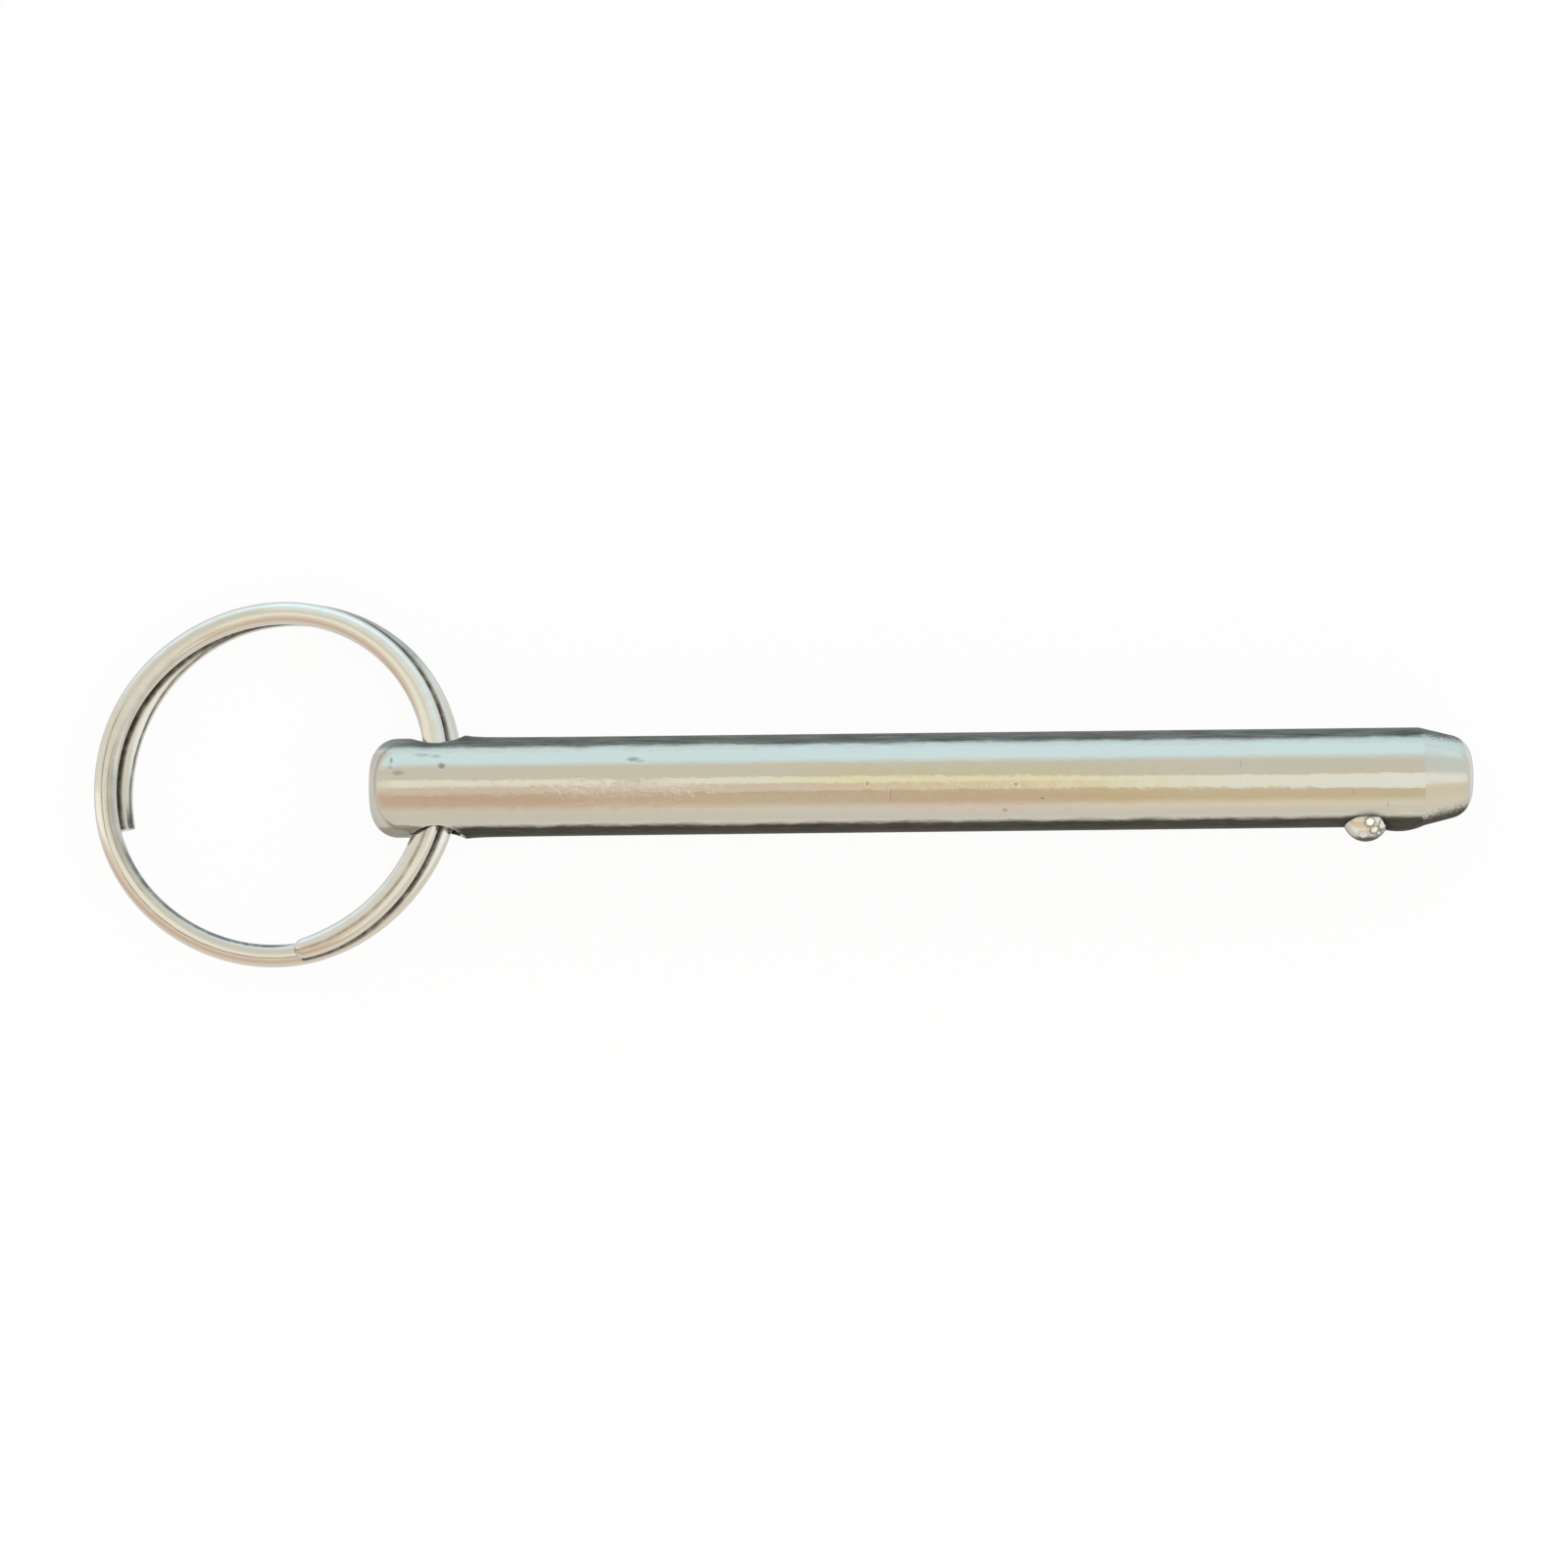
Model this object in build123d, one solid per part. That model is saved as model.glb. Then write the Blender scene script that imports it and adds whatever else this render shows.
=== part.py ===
from build123d import *
import math
import os

# A quick-release pin with a spring-loaded ball and a split ring, lying on a flat surface.
# The pin's axis is X with the nose at +X. Z is up. The origin is on the pin's axis, half way
# between the ring hole and the ball. All sizes are in millimetres and all angles in degrees.

# Shank
shank_diameter = 9.525
ring_hole_to_ball = 88.9
head_overhang = 6.5
head_round_length = 2.7
head_round_depth = 2.9
head_crown = 0.12
ball_to_tip = 10.25
nose_length = 5.0
nose_half_angle = 14.0
nose_corner_radius = 2.4

# Split ring: flattened wire, wound a little under two turns
wire_width = 2.2
wire_thickness = 1.35
wire_corner_radius = 0.6
wire_end_round = 0.35
ring_mean_radius = 16.1
ring_ovality = 0.64
ring_long_axis_angle = 59.0
ring_turns = 1.775
upper_end_angle = 278.0
coil_gap = 0.06
coil_slip = 1.25
coil_slip_angle = -10.0
ring_side_shift = 0.64

# How finely the wire is drawn, and the step along it, in degrees, that finds how far it reaches
stations_per_turn = 24
probe_step = 1.25

# Ring hole: both coils pass through it with this clearance, and its mouths are countersunk
ring_hole_clearance = 0.15
ring_hole_chamfer = 0.25
ring_hole_roll = 8.5

# Detent: a ball in a blind pocket, held in by the staked edge, on a compression spring
ball_diameter = 4.366
ball_protrusion = 1.49
ball_roll_angle = 14.0
ball_clearance = 0.03
pocket_depth = 7.16
drill_point_angle = 118.0

# Raised metal on the nose side of the ball, pushed up when the edge was staked
stake_height = 0.48
stake_half_length = 2.3
stake_half_width = 2.8
stake_offset = 3.2

# Spring
spring_wire = 0.45
spring_clearance = 0.26
spring_seat_gap = 0.02
spring_turns = 6.0
spring_end_turns = 1.0
spring_end_gap = 0.03
spring_points_per_turn = 10

shank_radius = shank_diameter / 2
hole_x = -ring_hole_to_ball / 2
ball_x = ring_hole_to_ball / 2
head_x = hole_x - head_overhang
tip_x = ball_x + ball_to_tip
ball_radius = ball_diameter / 2
pocket_radius = ball_radius + ball_clearance
ball_height = shank_radius + ball_protrusion - ball_radius
pocket_floor = shank_radius - pocket_depth
coil_pitch = wire_thickness + coil_gap


def smooth_step(value):
    """Rise from 0 to 1 as value goes from 0 to 1, level at both ends."""
    held = min(max(value, 0.0), 1.0)
    return held * held * (3 - 2 * held)


def strand_point(turned, centre=0.0):
    """A point on the wire's centre line in the ring's plane, turned degrees on from its upper end."""
    crossing_start = 360.0 * (ring_turns - 1)
    level = smooth_step((turned - crossing_start) / (360.0 - crossing_start))
    angle = math.radians(upper_end_angle + turned)
    long_axis = math.radians(ring_long_axis_angle)
    slip_direction = math.radians(coil_slip_angle)
    slipped = coil_slip * (level - 0.5)
    radius = ring_mean_radius + ring_ovality * math.cos(2 * (angle - long_axis))
    return Vector(
        centre + radius * math.cos(angle) + slipped * math.cos(slip_direction),
        ring_side_shift + radius * math.sin(angle) + slipped * math.sin(slip_direction),
        coil_pitch * (0.5 - level),
    )


def strand_plane(turned, centre):
    """The plane across the wire there, its x axis pointing away from the ring's centre."""
    small_turn = 0.01
    behind = strand_point(turned - small_turn, centre)
    ahead = strand_point(turned + small_turn, centre)
    along = (ahead - behind).normalized()
    outward = along.cross(Vector(0, 0, 1)).normalized()
    return Plane(origin=strand_point(turned, centre), x_dir=outward, z_dir=along)


def wire_corner_centres(centre, near_hole):
    """Centres of the wire's rounded corners: those inside the ring hole, or all the others."""
    corner_x = wire_width / 2 - wire_corner_radius
    corner_y = wire_thickness / 2 - wire_corner_radius
    found = []
    for index in range(round(360.0 * ring_turns / probe_step) + 1):
        plane = strand_plane(index * probe_step, centre)
        for side_x in (-corner_x, corner_x):
            for side_y in (-corner_y, corner_y):
                corner = plane.from_local_coords(Vector(side_x, side_y, 0))
                inside = corner.X > centre and abs(corner.Y) < shank_radius - ring_hole_chamfer
                if inside == near_hole:
                    found.append(corner)
    return found


def ring_centre():
    """Where the ring's centre lies behind the hole's axis, with both coils centred in the hole."""
    corners = wire_corner_centres(0.0, True)
    return -(max(c.X for c in corners) + min(c.X for c in corners)) / 2


ring_centre_x = ring_centre()
ring_reach = max(math.hypot(c.X, c.Z) for c in wire_corner_centres(ring_centre_x, True))
ring_hole_radius = ring_reach + wire_corner_radius + ring_hole_clearance


def rest_tilt():
    """How far the ring droops about the hole until it lies on what the shank lies on, in degrees."""
    roll = math.radians(ring_hole_roll)
    tilts = []
    for corner in wire_corner_centres(ring_centre_x, False):
        if corner.X < ring_centre_x / 2 and corner.Z < 0:
            lowering = corner.Y * math.sin(roll)
            drop = (shank_radius - wire_corner_radius - lowering) / math.cos(roll)
            reach = math.hypot(corner.X, corner.Z)
            tilts.append(math.asin(drop / reach) - math.atan2(-corner.Z, -corner.X))
    return math.degrees(min(tilts))


def hole_frame():
    """On the pin's axis at the ring hole, with y along the hole, its -y mouth rolled up."""
    return Location((hole_x, 0, 0)) * Rotation(-ring_hole_roll, 0, 0)


def ring_frame():
    """The hole's frame, with the ring's own plane drooped about the hole."""
    return hole_frame() * Rotation(0, -rest_tilt(), 0)


def detent_frame():
    """On the pin's axis under the ball, with z pointing out of the pocket's mouth."""
    roll = math.radians(ball_roll_angle)
    outward = (0, -math.cos(roll), math.sin(roll))
    return Plane(origin=(ball_x, 0, 0), x_dir=(1, 0, 0), z_dir=outward).location


def turned_bar():
    """The bar as it leaves the lathe: a crowned round head, a plain shank and a tapered nose."""
    head_flat_radius = shank_radius - head_round_depth
    nose_end_radius = shank_radius - nose_length * math.tan(math.radians(nose_half_angle))
    round_start = head_x + head_crown
    crown = ThreePointArc(
        (head_x, 0),
        (head_x + head_crown / 4, head_flat_radius / 2),
        (round_start, head_flat_radius),
    )
    head_round = EllipticalCenterArc(
        (round_start + head_round_length, head_flat_radius),
        head_round_length,
        head_round_depth,
        start_angle=90,
        arc_size=90,
    )
    sides = Polyline(
        (round_start + head_round_length, shank_radius),
        (tip_x - nose_length, shank_radius),
        (tip_x, nose_end_radius),
        (tip_x, 0),
        (head_x, 0),
    )
    outline = make_face([crown, head_round, *sides.edges()])
    nose_corner = outline.vertices().sort_by(Axis.X)[-2:].sort_by(Axis.Y)[-1]
    return revolve(fillet(nose_corner, nose_corner_radius), Axis.X)


def staked_metal():
    """The swelling between the ball and the nose, as an ellipsoid sunk in the shank."""
    top = shank_radius + stake_height
    edge_height = math.sqrt(shank_radius**2 - stake_half_width**2)
    middle_height = (top**2 - shank_radius**2) / (2 * (top - edge_height))
    round_radius = top - middle_height
    emerging = (shank_radius - middle_height) / round_radius
    length_radius = stake_half_length / math.sqrt(1 - emerging**2)
    middle = (stake_offset, middle_height)
    arch = EllipticalCenterArc(middle, length_radius, round_radius, start_angle=0, arc_size=180)
    base = Line(arch @ 1, arch @ 0)
    half_section = Plane.XZ * make_face([arch, base])
    swelling = revolve(half_section, Axis((stake_offset, 0, middle_height), (1, 0, 0)))
    return detent_frame() * swelling


def ring_hole():
    """The cross hole and its two countersinks."""
    mouth_radius = ring_hole_radius + ring_hole_chamfer
    cutter_length = 2 * shank_diameter
    hole = Cylinder(ring_hole_radius, cutter_length)
    depth = 2 * ring_hole_chamfer
    countersink = Cone(ring_hole_radius - ring_hole_chamfer, mouth_radius, depth)
    upper = Location((0, 0, shank_radius - ring_hole_chamfer)) * countersink
    sinks = upper + upper.mirror(Plane.XY)
    return hole_frame() * Rotation(90, 0, 0) * (hole + sinks)


def ball_pocket():
    """The blind pocket, which closes in over the ball at its mouth and ends in a drill point."""
    point_depth = pocket_radius / math.tan(math.radians(drill_point_angle / 2))
    lip_height = shank_radius + stake_height + ball_clearance - ball_height
    lip_angle = math.asin(lip_height / pocket_radius)
    lip = CenterArc((0, ball_height), pocket_radius, 0, math.degrees(lip_angle))
    mouth = lip @ 1
    above = ball_height + ball_diameter
    walls = Polyline(
        (0, above), (0, pocket_floor - point_depth), (pocket_radius, pocket_floor), lip @ 0
    )
    throat = Polyline(mouth, (mouth.X, above), (0, above))
    outline = Plane.XZ * make_face([*walls.edges(), lip, *throat.edges()])
    return detent_frame() * revolve(outline, Axis.Z)


def pin_shank():
    """The whole shank: bar, staked metal, ring hole and ball pocket."""
    return turned_bar() + staked_metal() - ring_hole() - ball_pocket()


def split_ring():
    """The ring at rest, lofted along the wire's centre line."""
    section_count = round(stations_per_turn * ring_turns)
    sections = []
    for index in range(section_count + 1):
        turned = 360.0 * ring_turns * index / section_count
        section = RectangleRounded(wire_width, wire_thickness, wire_corner_radius)
        sections.append(strand_plane(turned, ring_centre_x) * section)
    wire = loft(sections)
    end_face = wire.faces().sort_by_distance(strand_point(0, ring_centre_x))[0]
    return ring_frame() * fillet(end_face.edges(), wire_end_round)


def detent_ball():
    """The ball, standing out of its pocket."""
    return detent_frame() * Location((0, 0, ball_height)) * Sphere(ball_radius)


def detent_spring():
    """The spring between the pocket's floor and the ball, with closed and ground ends."""
    outer_radius = pocket_radius - spring_clearance
    coil_radius = outer_radius - spring_wire / 2
    inner_radius = outer_radius - spring_wire
    floor_slope = math.tan(math.radians(drill_point_angle / 2))
    bottom = pocket_floor - (pocket_radius - outer_radius) / floor_slope + spring_seat_gap
    touch_depth = math.sqrt(ball_radius**2 - inner_radius**2)
    top = ball_height - touch_depth - spring_seat_gap
    end_rise = spring_end_turns * (spring_wire + spring_end_gap)
    open_turns = spring_turns - 2 * spring_end_turns
    open_rise = top - bottom - 2 * end_rise
    count = round(spring_turns * spring_points_per_turn)
    points = []
    for index in range(count + 1):
        turn = spring_turns * index / count
        lower = min(turn, spring_end_turns) / spring_end_turns
        upper = max(turn - spring_end_turns - open_turns, 0.0) / spring_end_turns
        opened = min(max((turn - spring_end_turns) / open_turns, 0.0), 1.0)
        height = bottom + end_rise * (lower + upper) + open_rise * opened
        angle = 2 * math.pi * turn
        points.append((coil_radius * math.cos(angle), coil_radius * math.sin(angle), height))
    path = Spline(points)
    section = Plane(origin=path @ 0, z_dir=path % 0) * Circle(spring_wire / 2)
    coil = sweep(section, path=path)
    slab_size = 2 * pocket_radius
    slab = Location((0, 0, (top + bottom) / 2)) * Box(slab_size, slab_size, top - bottom)
    return detent_frame() * (coil & slab)


pieces = {
    "pin_shank": pin_shank,
    "split_ring": split_ring,
    "detent_ball": detent_ball,
    "detent_spring": detent_spring,
}

os.makedirs("parts", exist_ok=True)
for name, make_piece in pieces.items():
    export_step(make_piece(), f"parts/{name}.step")
print(f"ring droops {rest_tilt():.3f} degrees, centre {ring_centre_x:.3f} from the hole's axis")
print(f"ring hole radius {ring_hole_radius:.3f}, ball centre {ball_height:.3f} from the axis")
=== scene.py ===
"""Looks of a quick-release pin with a spring-loaded ball and a split ring.

The pin's axis is X with the nose at +X, and Z is up. Sizes are in millimetres in the classes below
and become metres where a mesh is made. Angles are in degrees.
"""

import logging
import math
from collections.abc import Callable
from dataclasses import dataclass
from enum import Enum
from functools import reduce

import bmesh
import bpy
import numpy as np
from mathutils import Matrix, Vector
from mathutils.kdtree import KDTree


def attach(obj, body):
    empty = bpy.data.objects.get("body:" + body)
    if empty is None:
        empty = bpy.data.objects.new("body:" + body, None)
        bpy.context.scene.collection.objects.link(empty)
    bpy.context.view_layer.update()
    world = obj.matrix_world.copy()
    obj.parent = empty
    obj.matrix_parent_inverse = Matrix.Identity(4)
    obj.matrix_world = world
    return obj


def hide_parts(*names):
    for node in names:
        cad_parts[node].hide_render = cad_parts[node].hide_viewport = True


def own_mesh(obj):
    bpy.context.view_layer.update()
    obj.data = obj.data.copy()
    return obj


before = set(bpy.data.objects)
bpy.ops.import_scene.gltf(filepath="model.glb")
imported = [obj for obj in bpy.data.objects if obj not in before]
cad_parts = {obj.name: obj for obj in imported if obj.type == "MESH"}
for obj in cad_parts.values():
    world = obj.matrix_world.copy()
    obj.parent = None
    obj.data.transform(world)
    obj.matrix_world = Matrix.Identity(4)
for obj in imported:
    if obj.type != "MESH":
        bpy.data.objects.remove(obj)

MM = 0.001
LOG = logging.getLogger("ring_pin")
Colour = tuple[float, float, float]
Point = tuple[float, float, float]
# Where a step starts, where it ends and, unless it goes from 0 to 1, its two levels.
Rise = tuple[float | tuple[float, float], ...]
Socket = bpy.types.NodeSocket
Tree = bpy.types.NodeTree
Mesh = bpy.types.Mesh
Object = bpy.types.Object


class Body(Enum):
    """The bodies that pieces ride on."""

    PIN = "pin"
    BALL = "ball"
    RING = "ring"


class Grain(Enum):
    """Which way the tool marks run on a surface."""

    DRAWN = "drawn"
    WOUND = "wound"
    POLISHED = "polished"


class NodeDesk:
    """Puts nodes in one tree and wires their sockets."""

    def __init__(self, tree: Tree) -> None:
        """Keep the tree that the nodes go into.

        Args:
            tree: A shader or geometry node tree.
        """
        self.tree = tree

    @classmethod
    def cleared(cls, owner: bpy.types.Material | bpy.types.World) -> "NodeDesk":
        """Turn on an owner's nodes and take away those it starts with.

        Args:
            owner: A material or a world.

        Returns:
            The desk of the owner's empty tree.
        """
        owner.use_nodes = True
        owner.node_tree.nodes.clear()
        return cls(owner.node_tree)

    def put(self, kind: str, inputs: dict | None = None, **settings: object) -> bpy.types.Node:
        """Add one node.

        Args:
            kind: The node's type name.
            inputs: Socket name or index to a value, or to the socket that feeds it.
            **settings: Properties set on the node before its sockets.

        Returns:
            The new node.
        """
        node = self.tree.nodes.new(kind)
        for name, value in settings.items():
            setattr(node, name, value)
        for key, value in (inputs or {}).items():
            if isinstance(value, Socket):
                self.tree.links.new(value, node.inputs[key])
            else:
                node.inputs[key].default_value = value
        return node

    def out(self, kind: str, inputs: dict | None = None, **settings: object) -> Socket:
        """Add one node as put does, and return its first output."""
        return self.put(kind, inputs, **settings).outputs[0]

    def math(self, operation: str, *values: object, clamp: bool = False) -> Socket:
        """Add a Math node and return its result.

        Args:
            operation: The Math node's operation.
            *values: One to three numbers or sockets.
            clamp: Whether the result is held between 0 and 1.

        Returns:
            The result's socket.
        """
        inputs = dict(enumerate(values))
        return self.out("ShaderNodeMath", inputs, operation=operation, use_clamp=clamp)

    def add(self, *values: object) -> Socket:
        """The sum of numbers and sockets."""
        return reduce(lambda first, second: self.math("ADD", first, second), values)

    def mul(self, *values: object) -> Socket:
        """The product of numbers and sockets."""
        return reduce(lambda first, second: self.math("MULTIPLY", first, second), values)

    def sub(self, first: object, second: object) -> Socket:
        """What is left of the first number or socket without the second."""
        return self.math("SUBTRACT", first, second)

    def group(self, tree: Tree, inputs: dict) -> Socket:
        """Put in a shared group with its inputs and return its one output."""
        return self.out("ShaderNodeGroup", inputs, node_tree=tree)

    def step(
        self, value: object, low: object, high: object, to: tuple[float, float] = (0.0, 1.0)
    ) -> Socket:
        """Rise smoothly from one level to another as value goes from low to high.

        Args:
            value: The number or socket that drives the step.
            low: Where the step starts.
            high: Where the step ends.
            to: The levels before and after the step.

        Returns:
            The level's socket.
        """
        inputs = {0: value, 1: low, 2: high, 3: to[0], 4: to[1]}
        return self.out("ShaderNodeMapRange", inputs, interpolation_type="SMOOTHSTEP")

    def noise(
        self, vector: object, scale: float, detail: float = 2.0, rough: float = 0.5
    ) -> Socket:
        """Add a Noise Texture and return its level.

        Args:
            vector: Where the noise is read.
            scale: Features per unit of the vector.
            detail: Octaves.
            rough: How strongly the finer octaves show.

        Returns:
            The noise level's socket.
        """
        inputs = {"Vector": vector, "Scale": scale, "Detail": detail, "Roughness": rough}
        return self.out("ShaderNodeTexNoise", inputs)

    def attribute(self, name: str) -> Socket:
        """Read a number that is stored on the mesh; it is 0 where there is none."""
        return self.put("ShaderNodeAttribute", attribute_name=name).outputs["Fac"]

    def stretch(self, vector: object, scale: Point) -> Socket:
        """Scale a vector by a different amount along each axis.

        Args:
            vector: The vector's socket.
            scale: The three factors.

        Returns:
            The scaled vector's socket.
        """
        return self.out("ShaderNodeVectorMath", {0: vector, 1: scale}, operation="MULTIPLY")

    def blend(self, factor: object, first: object, second: object) -> Socket:
        """Mix two colours.

        Args:
            factor: 0 for the first colour, 1 for the second.
            first: A colour or a colour socket.
            second: A colour or a colour socket.

        Returns:
            The mixed colour's socket.
        """
        node = self.put("ShaderNodeMix", {"Factor": factor}, data_type="RGBA")
        for socket, value in zip((node.inputs[6], node.inputs[7]), (first, second)):
            if isinstance(value, Socket):
                self.tree.links.new(value, socket)
            else:
                socket.default_value = (*value, 1.0)
        return node.outputs[2]


def shared_group(name: str, inputs: dict[str, str], output: str, make: Callable) -> Tree:
    """Build a shader node group once and return it.

    Args:
        name: The group's name.
        inputs: Input name to socket type.
        output: Name of the one output, a number.
        make: Called with the desk and the inputs' sockets; returns the output's socket.

    Returns:
        The group's tree.
    """
    if name in bpy.data.node_groups:
        return bpy.data.node_groups[name]
    tree = bpy.data.node_groups.new(name, "ShaderNodeTree")
    for label, kind in inputs.items():
        tree.interface.new_socket(name=label, in_out="INPUT", socket_type=kind)
    tree.interface.new_socket(name=output, in_out="OUTPUT", socket_type="NodeSocketFloat")
    desk = NodeDesk(tree)
    entry = tree.nodes.new("NodeGroupInput")
    leave = tree.nodes.new("NodeGroupOutput")
    tree.links.new(make(desk, entry.outputs), leave.inputs[0])
    return tree


class Effects:
    """The shader node groups that several finishes use. Their vectors are in millimetres."""

    VECTOR = "NodeSocketVector"
    FLOAT = "NodeSocketFloat"
    PATCH_SHIFT = (31.0, 7.0, 13.0)
    LINE_WANDER = 0.16
    LINE_CORE = 0.35
    LINE_FADE = 3.0

    @classmethod
    def grain(cls) -> Tree:
        """Fine lines of two widths, stretched by the vector that is fed in."""

        def make(desk: NodeDesk, given: object) -> Socket:
            broad = desk.noise(given["Vector"], 1.0, 1.0)
            fine = desk.noise(given["Vector"], 3.7, 2.0, 0.6)
            share = desk.mul(fine, given["Fine Share"])
            return desk.add(broad, share)

        inputs = {"Vector": cls.VECTOR, "Fine Share": cls.FLOAT}
        return shared_group("Line grain", inputs, "Height", make)

    @classmethod
    def scratches(cls) -> Tree:
        """Thin wandering lines where a noise crosses its middle, kept in patches."""

        def make(desk: NodeDesk, given: object) -> Socket:
            field_level = desk.noise(given["Vector"], 0.55, 1.0, 0.4)
            away = desk.math("ABSOLUTE", desk.sub(field_level, 0.5))
            line = desk.step(away, 0.0, given["Width"], (1.0, 0.0))
            shifted = desk.out("ShaderNodeVectorMath", {0: given["Vector"], 1: cls.PATCH_SHIFT})
            patch = desk.noise(shifted, 0.25, 1.0)
            kept = desk.step(patch, desk.sub(1.0, given["Cover"]), 0.75)
            return desk.mul(line, kept)

        inputs = {"Vector": cls.VECTOR, "Width": cls.FLOAT, "Cover": cls.FLOAT}
        return shared_group("Fine scratches", inputs, "Mask", make)

    @classmethod
    def patch(cls) -> Tree:
        """A blotch with a ragged edge round a centre, longer one way than another."""

        def make(desk: NodeDesk, given: object) -> Socket:
            from_centre = {0: given["Vector"], 1: given["Centre"]}
            offset = desk.out("ShaderNodeVectorMath", from_centre, operation="SUBTRACT")
            shares = {0: offset, 1: given["Reach"]}
            scaled = desk.out("ShaderNodeVectorMath", shares, operation="DIVIDE")
            length = desk.put("ShaderNodeVectorMath", {0: scaled}, operation="LENGTH")
            ragged = desk.sub(desk.noise(given["Vector"], 0.9, 4.0, 0.65), 0.5)
            spread = desk.mul(ragged, given["Ragged"])
            distance = desk.add(length.outputs["Value"], spread)
            return desk.step(distance, given["Core"], 1.0, (1.0, 0.0))

        inputs = {
            "Vector": cls.VECTOR,
            "Centre": cls.VECTOR,
            "Reach": cls.VECTOR,
            "Ragged": cls.FLOAT,
            "Core": cls.FLOAT,
        }
        return shared_group("Ragged patch", inputs, "Mask", make)

    @classmethod
    def painted_line(cls) -> Tree:
        """A thin line along part of a wire, a little off straight and thicker in places."""

        def make(desk: NodeDesk, given: object) -> Socket:
            along = desk.out("ShaderNodeCombineXYZ", {0: given["Run"], 1: given["Place"]})
            wander = desk.sub(desk.noise(along, 0.45, 3.0), 0.5)
            middle = desk.add(given["Place"], desk.mul(wander, cls.LINE_WANDER))
            away = desk.math("ABSOLUTE", desk.sub(given["Across"], middle))
            core = desk.mul(given["Width"], cls.LINE_CORE)
            line = desk.step(away, core, given["Width"], (1.0, 0.0))
            begun = desk.step(given["Run"], given["Start"], desk.add(given["Start"], cls.LINE_FADE))
            last = desk.sub(given["End"], cls.LINE_FADE)
            ended = desk.step(given["Run"], last, given["End"], (1.0, 0.0))
            strength = desk.step(desk.noise(along, 0.8, 3.0), 0.25, 0.6, (0.6, 1.0))
            return desk.mul(line, strength, desk.mul(begun, ended))

        names = ("Run", "Across", "Place", "Width", "Start", "End")
        return shared_group("Painted line", {name: cls.FLOAT for name in names}, "Mask", make)

    @classmethod
    def flank_dark_reflection(cls) -> Tree:
        """A painted dark reflection with a ragged edge, on what lies farther out than a level."""

        def make(desk: NodeDesk, given: object) -> Socket:
            blotch = desk.sub(desk.noise(given["Vector"], 0.9, 6.0, 0.7), 0.5)
            wander = desk.mul(blotch, given["Blotch"])
            out = desk.add(given["Out"], wander)
            full = desk.add(given["Level"], given["Softness"])
            return desk.step(out, given["Level"], full)

        inputs = {
            "Vector": cls.VECTOR,
            "Out": cls.FLOAT,
            "Level": cls.FLOAT,
            "Softness": cls.FLOAT,
            "Blotch": cls.FLOAT,
        }
        return shared_group("Painted flank reflection", inputs, "Mask", make)


@dataclass(frozen=True)
class Blemish:
    """A small mark at a known place on a piece."""

    centre: Point
    reach: Point
    depth: float


@dataclass(frozen=True)
class PaintedLine:
    """A line painted along a wire: light ones are painted reflections, dark ones painted dark
    reflections, and at the inner edge painted shade.

    Attributes:
        place: Distance from the wire's middle, outwards, in millimetres.
        width: Half its width, in millimetres.
        start: Where it starts along the wire, in millimetres.
        end: Where it ends along the wire, in millimetres.
        depth: How strongly it shows, from 0 to 1.
        tone: Its colour.
    """

    place: float
    width: float
    start: float
    end: float
    depth: float
    tone: Colour = (0.16, 0.135, 0.11)


@dataclass(frozen=True)
class Facet:
    """A small flat worn on the ball.

    Attributes:
        aim: Direction from the ball's middle, in the pin's axes.
        reach: Half its angle, in radians.
        rim: How dark the painted line round it is, from 0 to 1.
    """

    aim: Point
    reach: float
    rim: float


@dataclass(frozen=True)
class DarkReflection:
    """A painted dark reflection on the flanks, where the metal is also made duller.

    Attributes:
        left: Its colour at +Y.
        right: Its colour at -Y.
        amount: How much of it shows, from 0 to 1.
        level: How far out to the side it starts, in millimetres.
        softness: How far it takes to come up, in millimetres.
        middle: Where the two flanks part along Y, in millimetres.
        blotch: How far its edge wanders, in millimetres.
        fades: The heights between which it comes up, in millimetres.
        streaks: How dark and how bright its streaks are, against its colour.
    """

    left: Colour
    right: Colour
    amount: float
    level: float
    softness: float
    middle: float = 0.04
    blotch: float = 0.7
    fades: tuple[float, float] = (-2.2, 1.0)
    streaks: tuple[float, float] = (0.55, 1.6)


@dataclass(frozen=True)
class Nose:
    """How the turned nose looks against the bar. Pairs hold for -Y and +Y.

    Attributes:
        start: Where it begins along X, in millimetres.
        edge: Half the width of its beginning, in millimetres.
        line_scale: How its tool marks are stretched.
        line_gain: How deep its tool marks are, against the bar's.
        roughness: What it adds to the roughness.
        reflection_rise: How much nearer the painted dark reflection comes for each millimetre
            ahead.
        reflection_soft: What it adds to the painted dark reflection's softness, in millimetres.
        specks: How far specks break up the painted dark reflection's edge, in millimetres.
        blue_rise: How much nearer the painted bluish reflection comes for each millimetre ahead.
        blue_jump: How much nearer the painted bluish reflection is on all of the nose, in
            millimetres.
        corner: How far ahead its rounded corner begins, in millimetres.
        corner_rise: What the corner adds to blue_rise.
    """

    start: float = 49.7
    edge: float = 0.1
    line_scale: Point = (4.0, 3.0, 3.0)
    line_gain: float = 4.0
    roughness: float = 0.1
    reflection_rise: tuple[float, float] = (0.27, 0.13)
    reflection_soft: tuple[float, float] = (0.4, 0.25)
    specks: float = 1.8
    blue_rise: float = 0.18
    blue_jump: float = 0.13
    corner: float = 3.1
    corner_rise: float = 0.5


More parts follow.
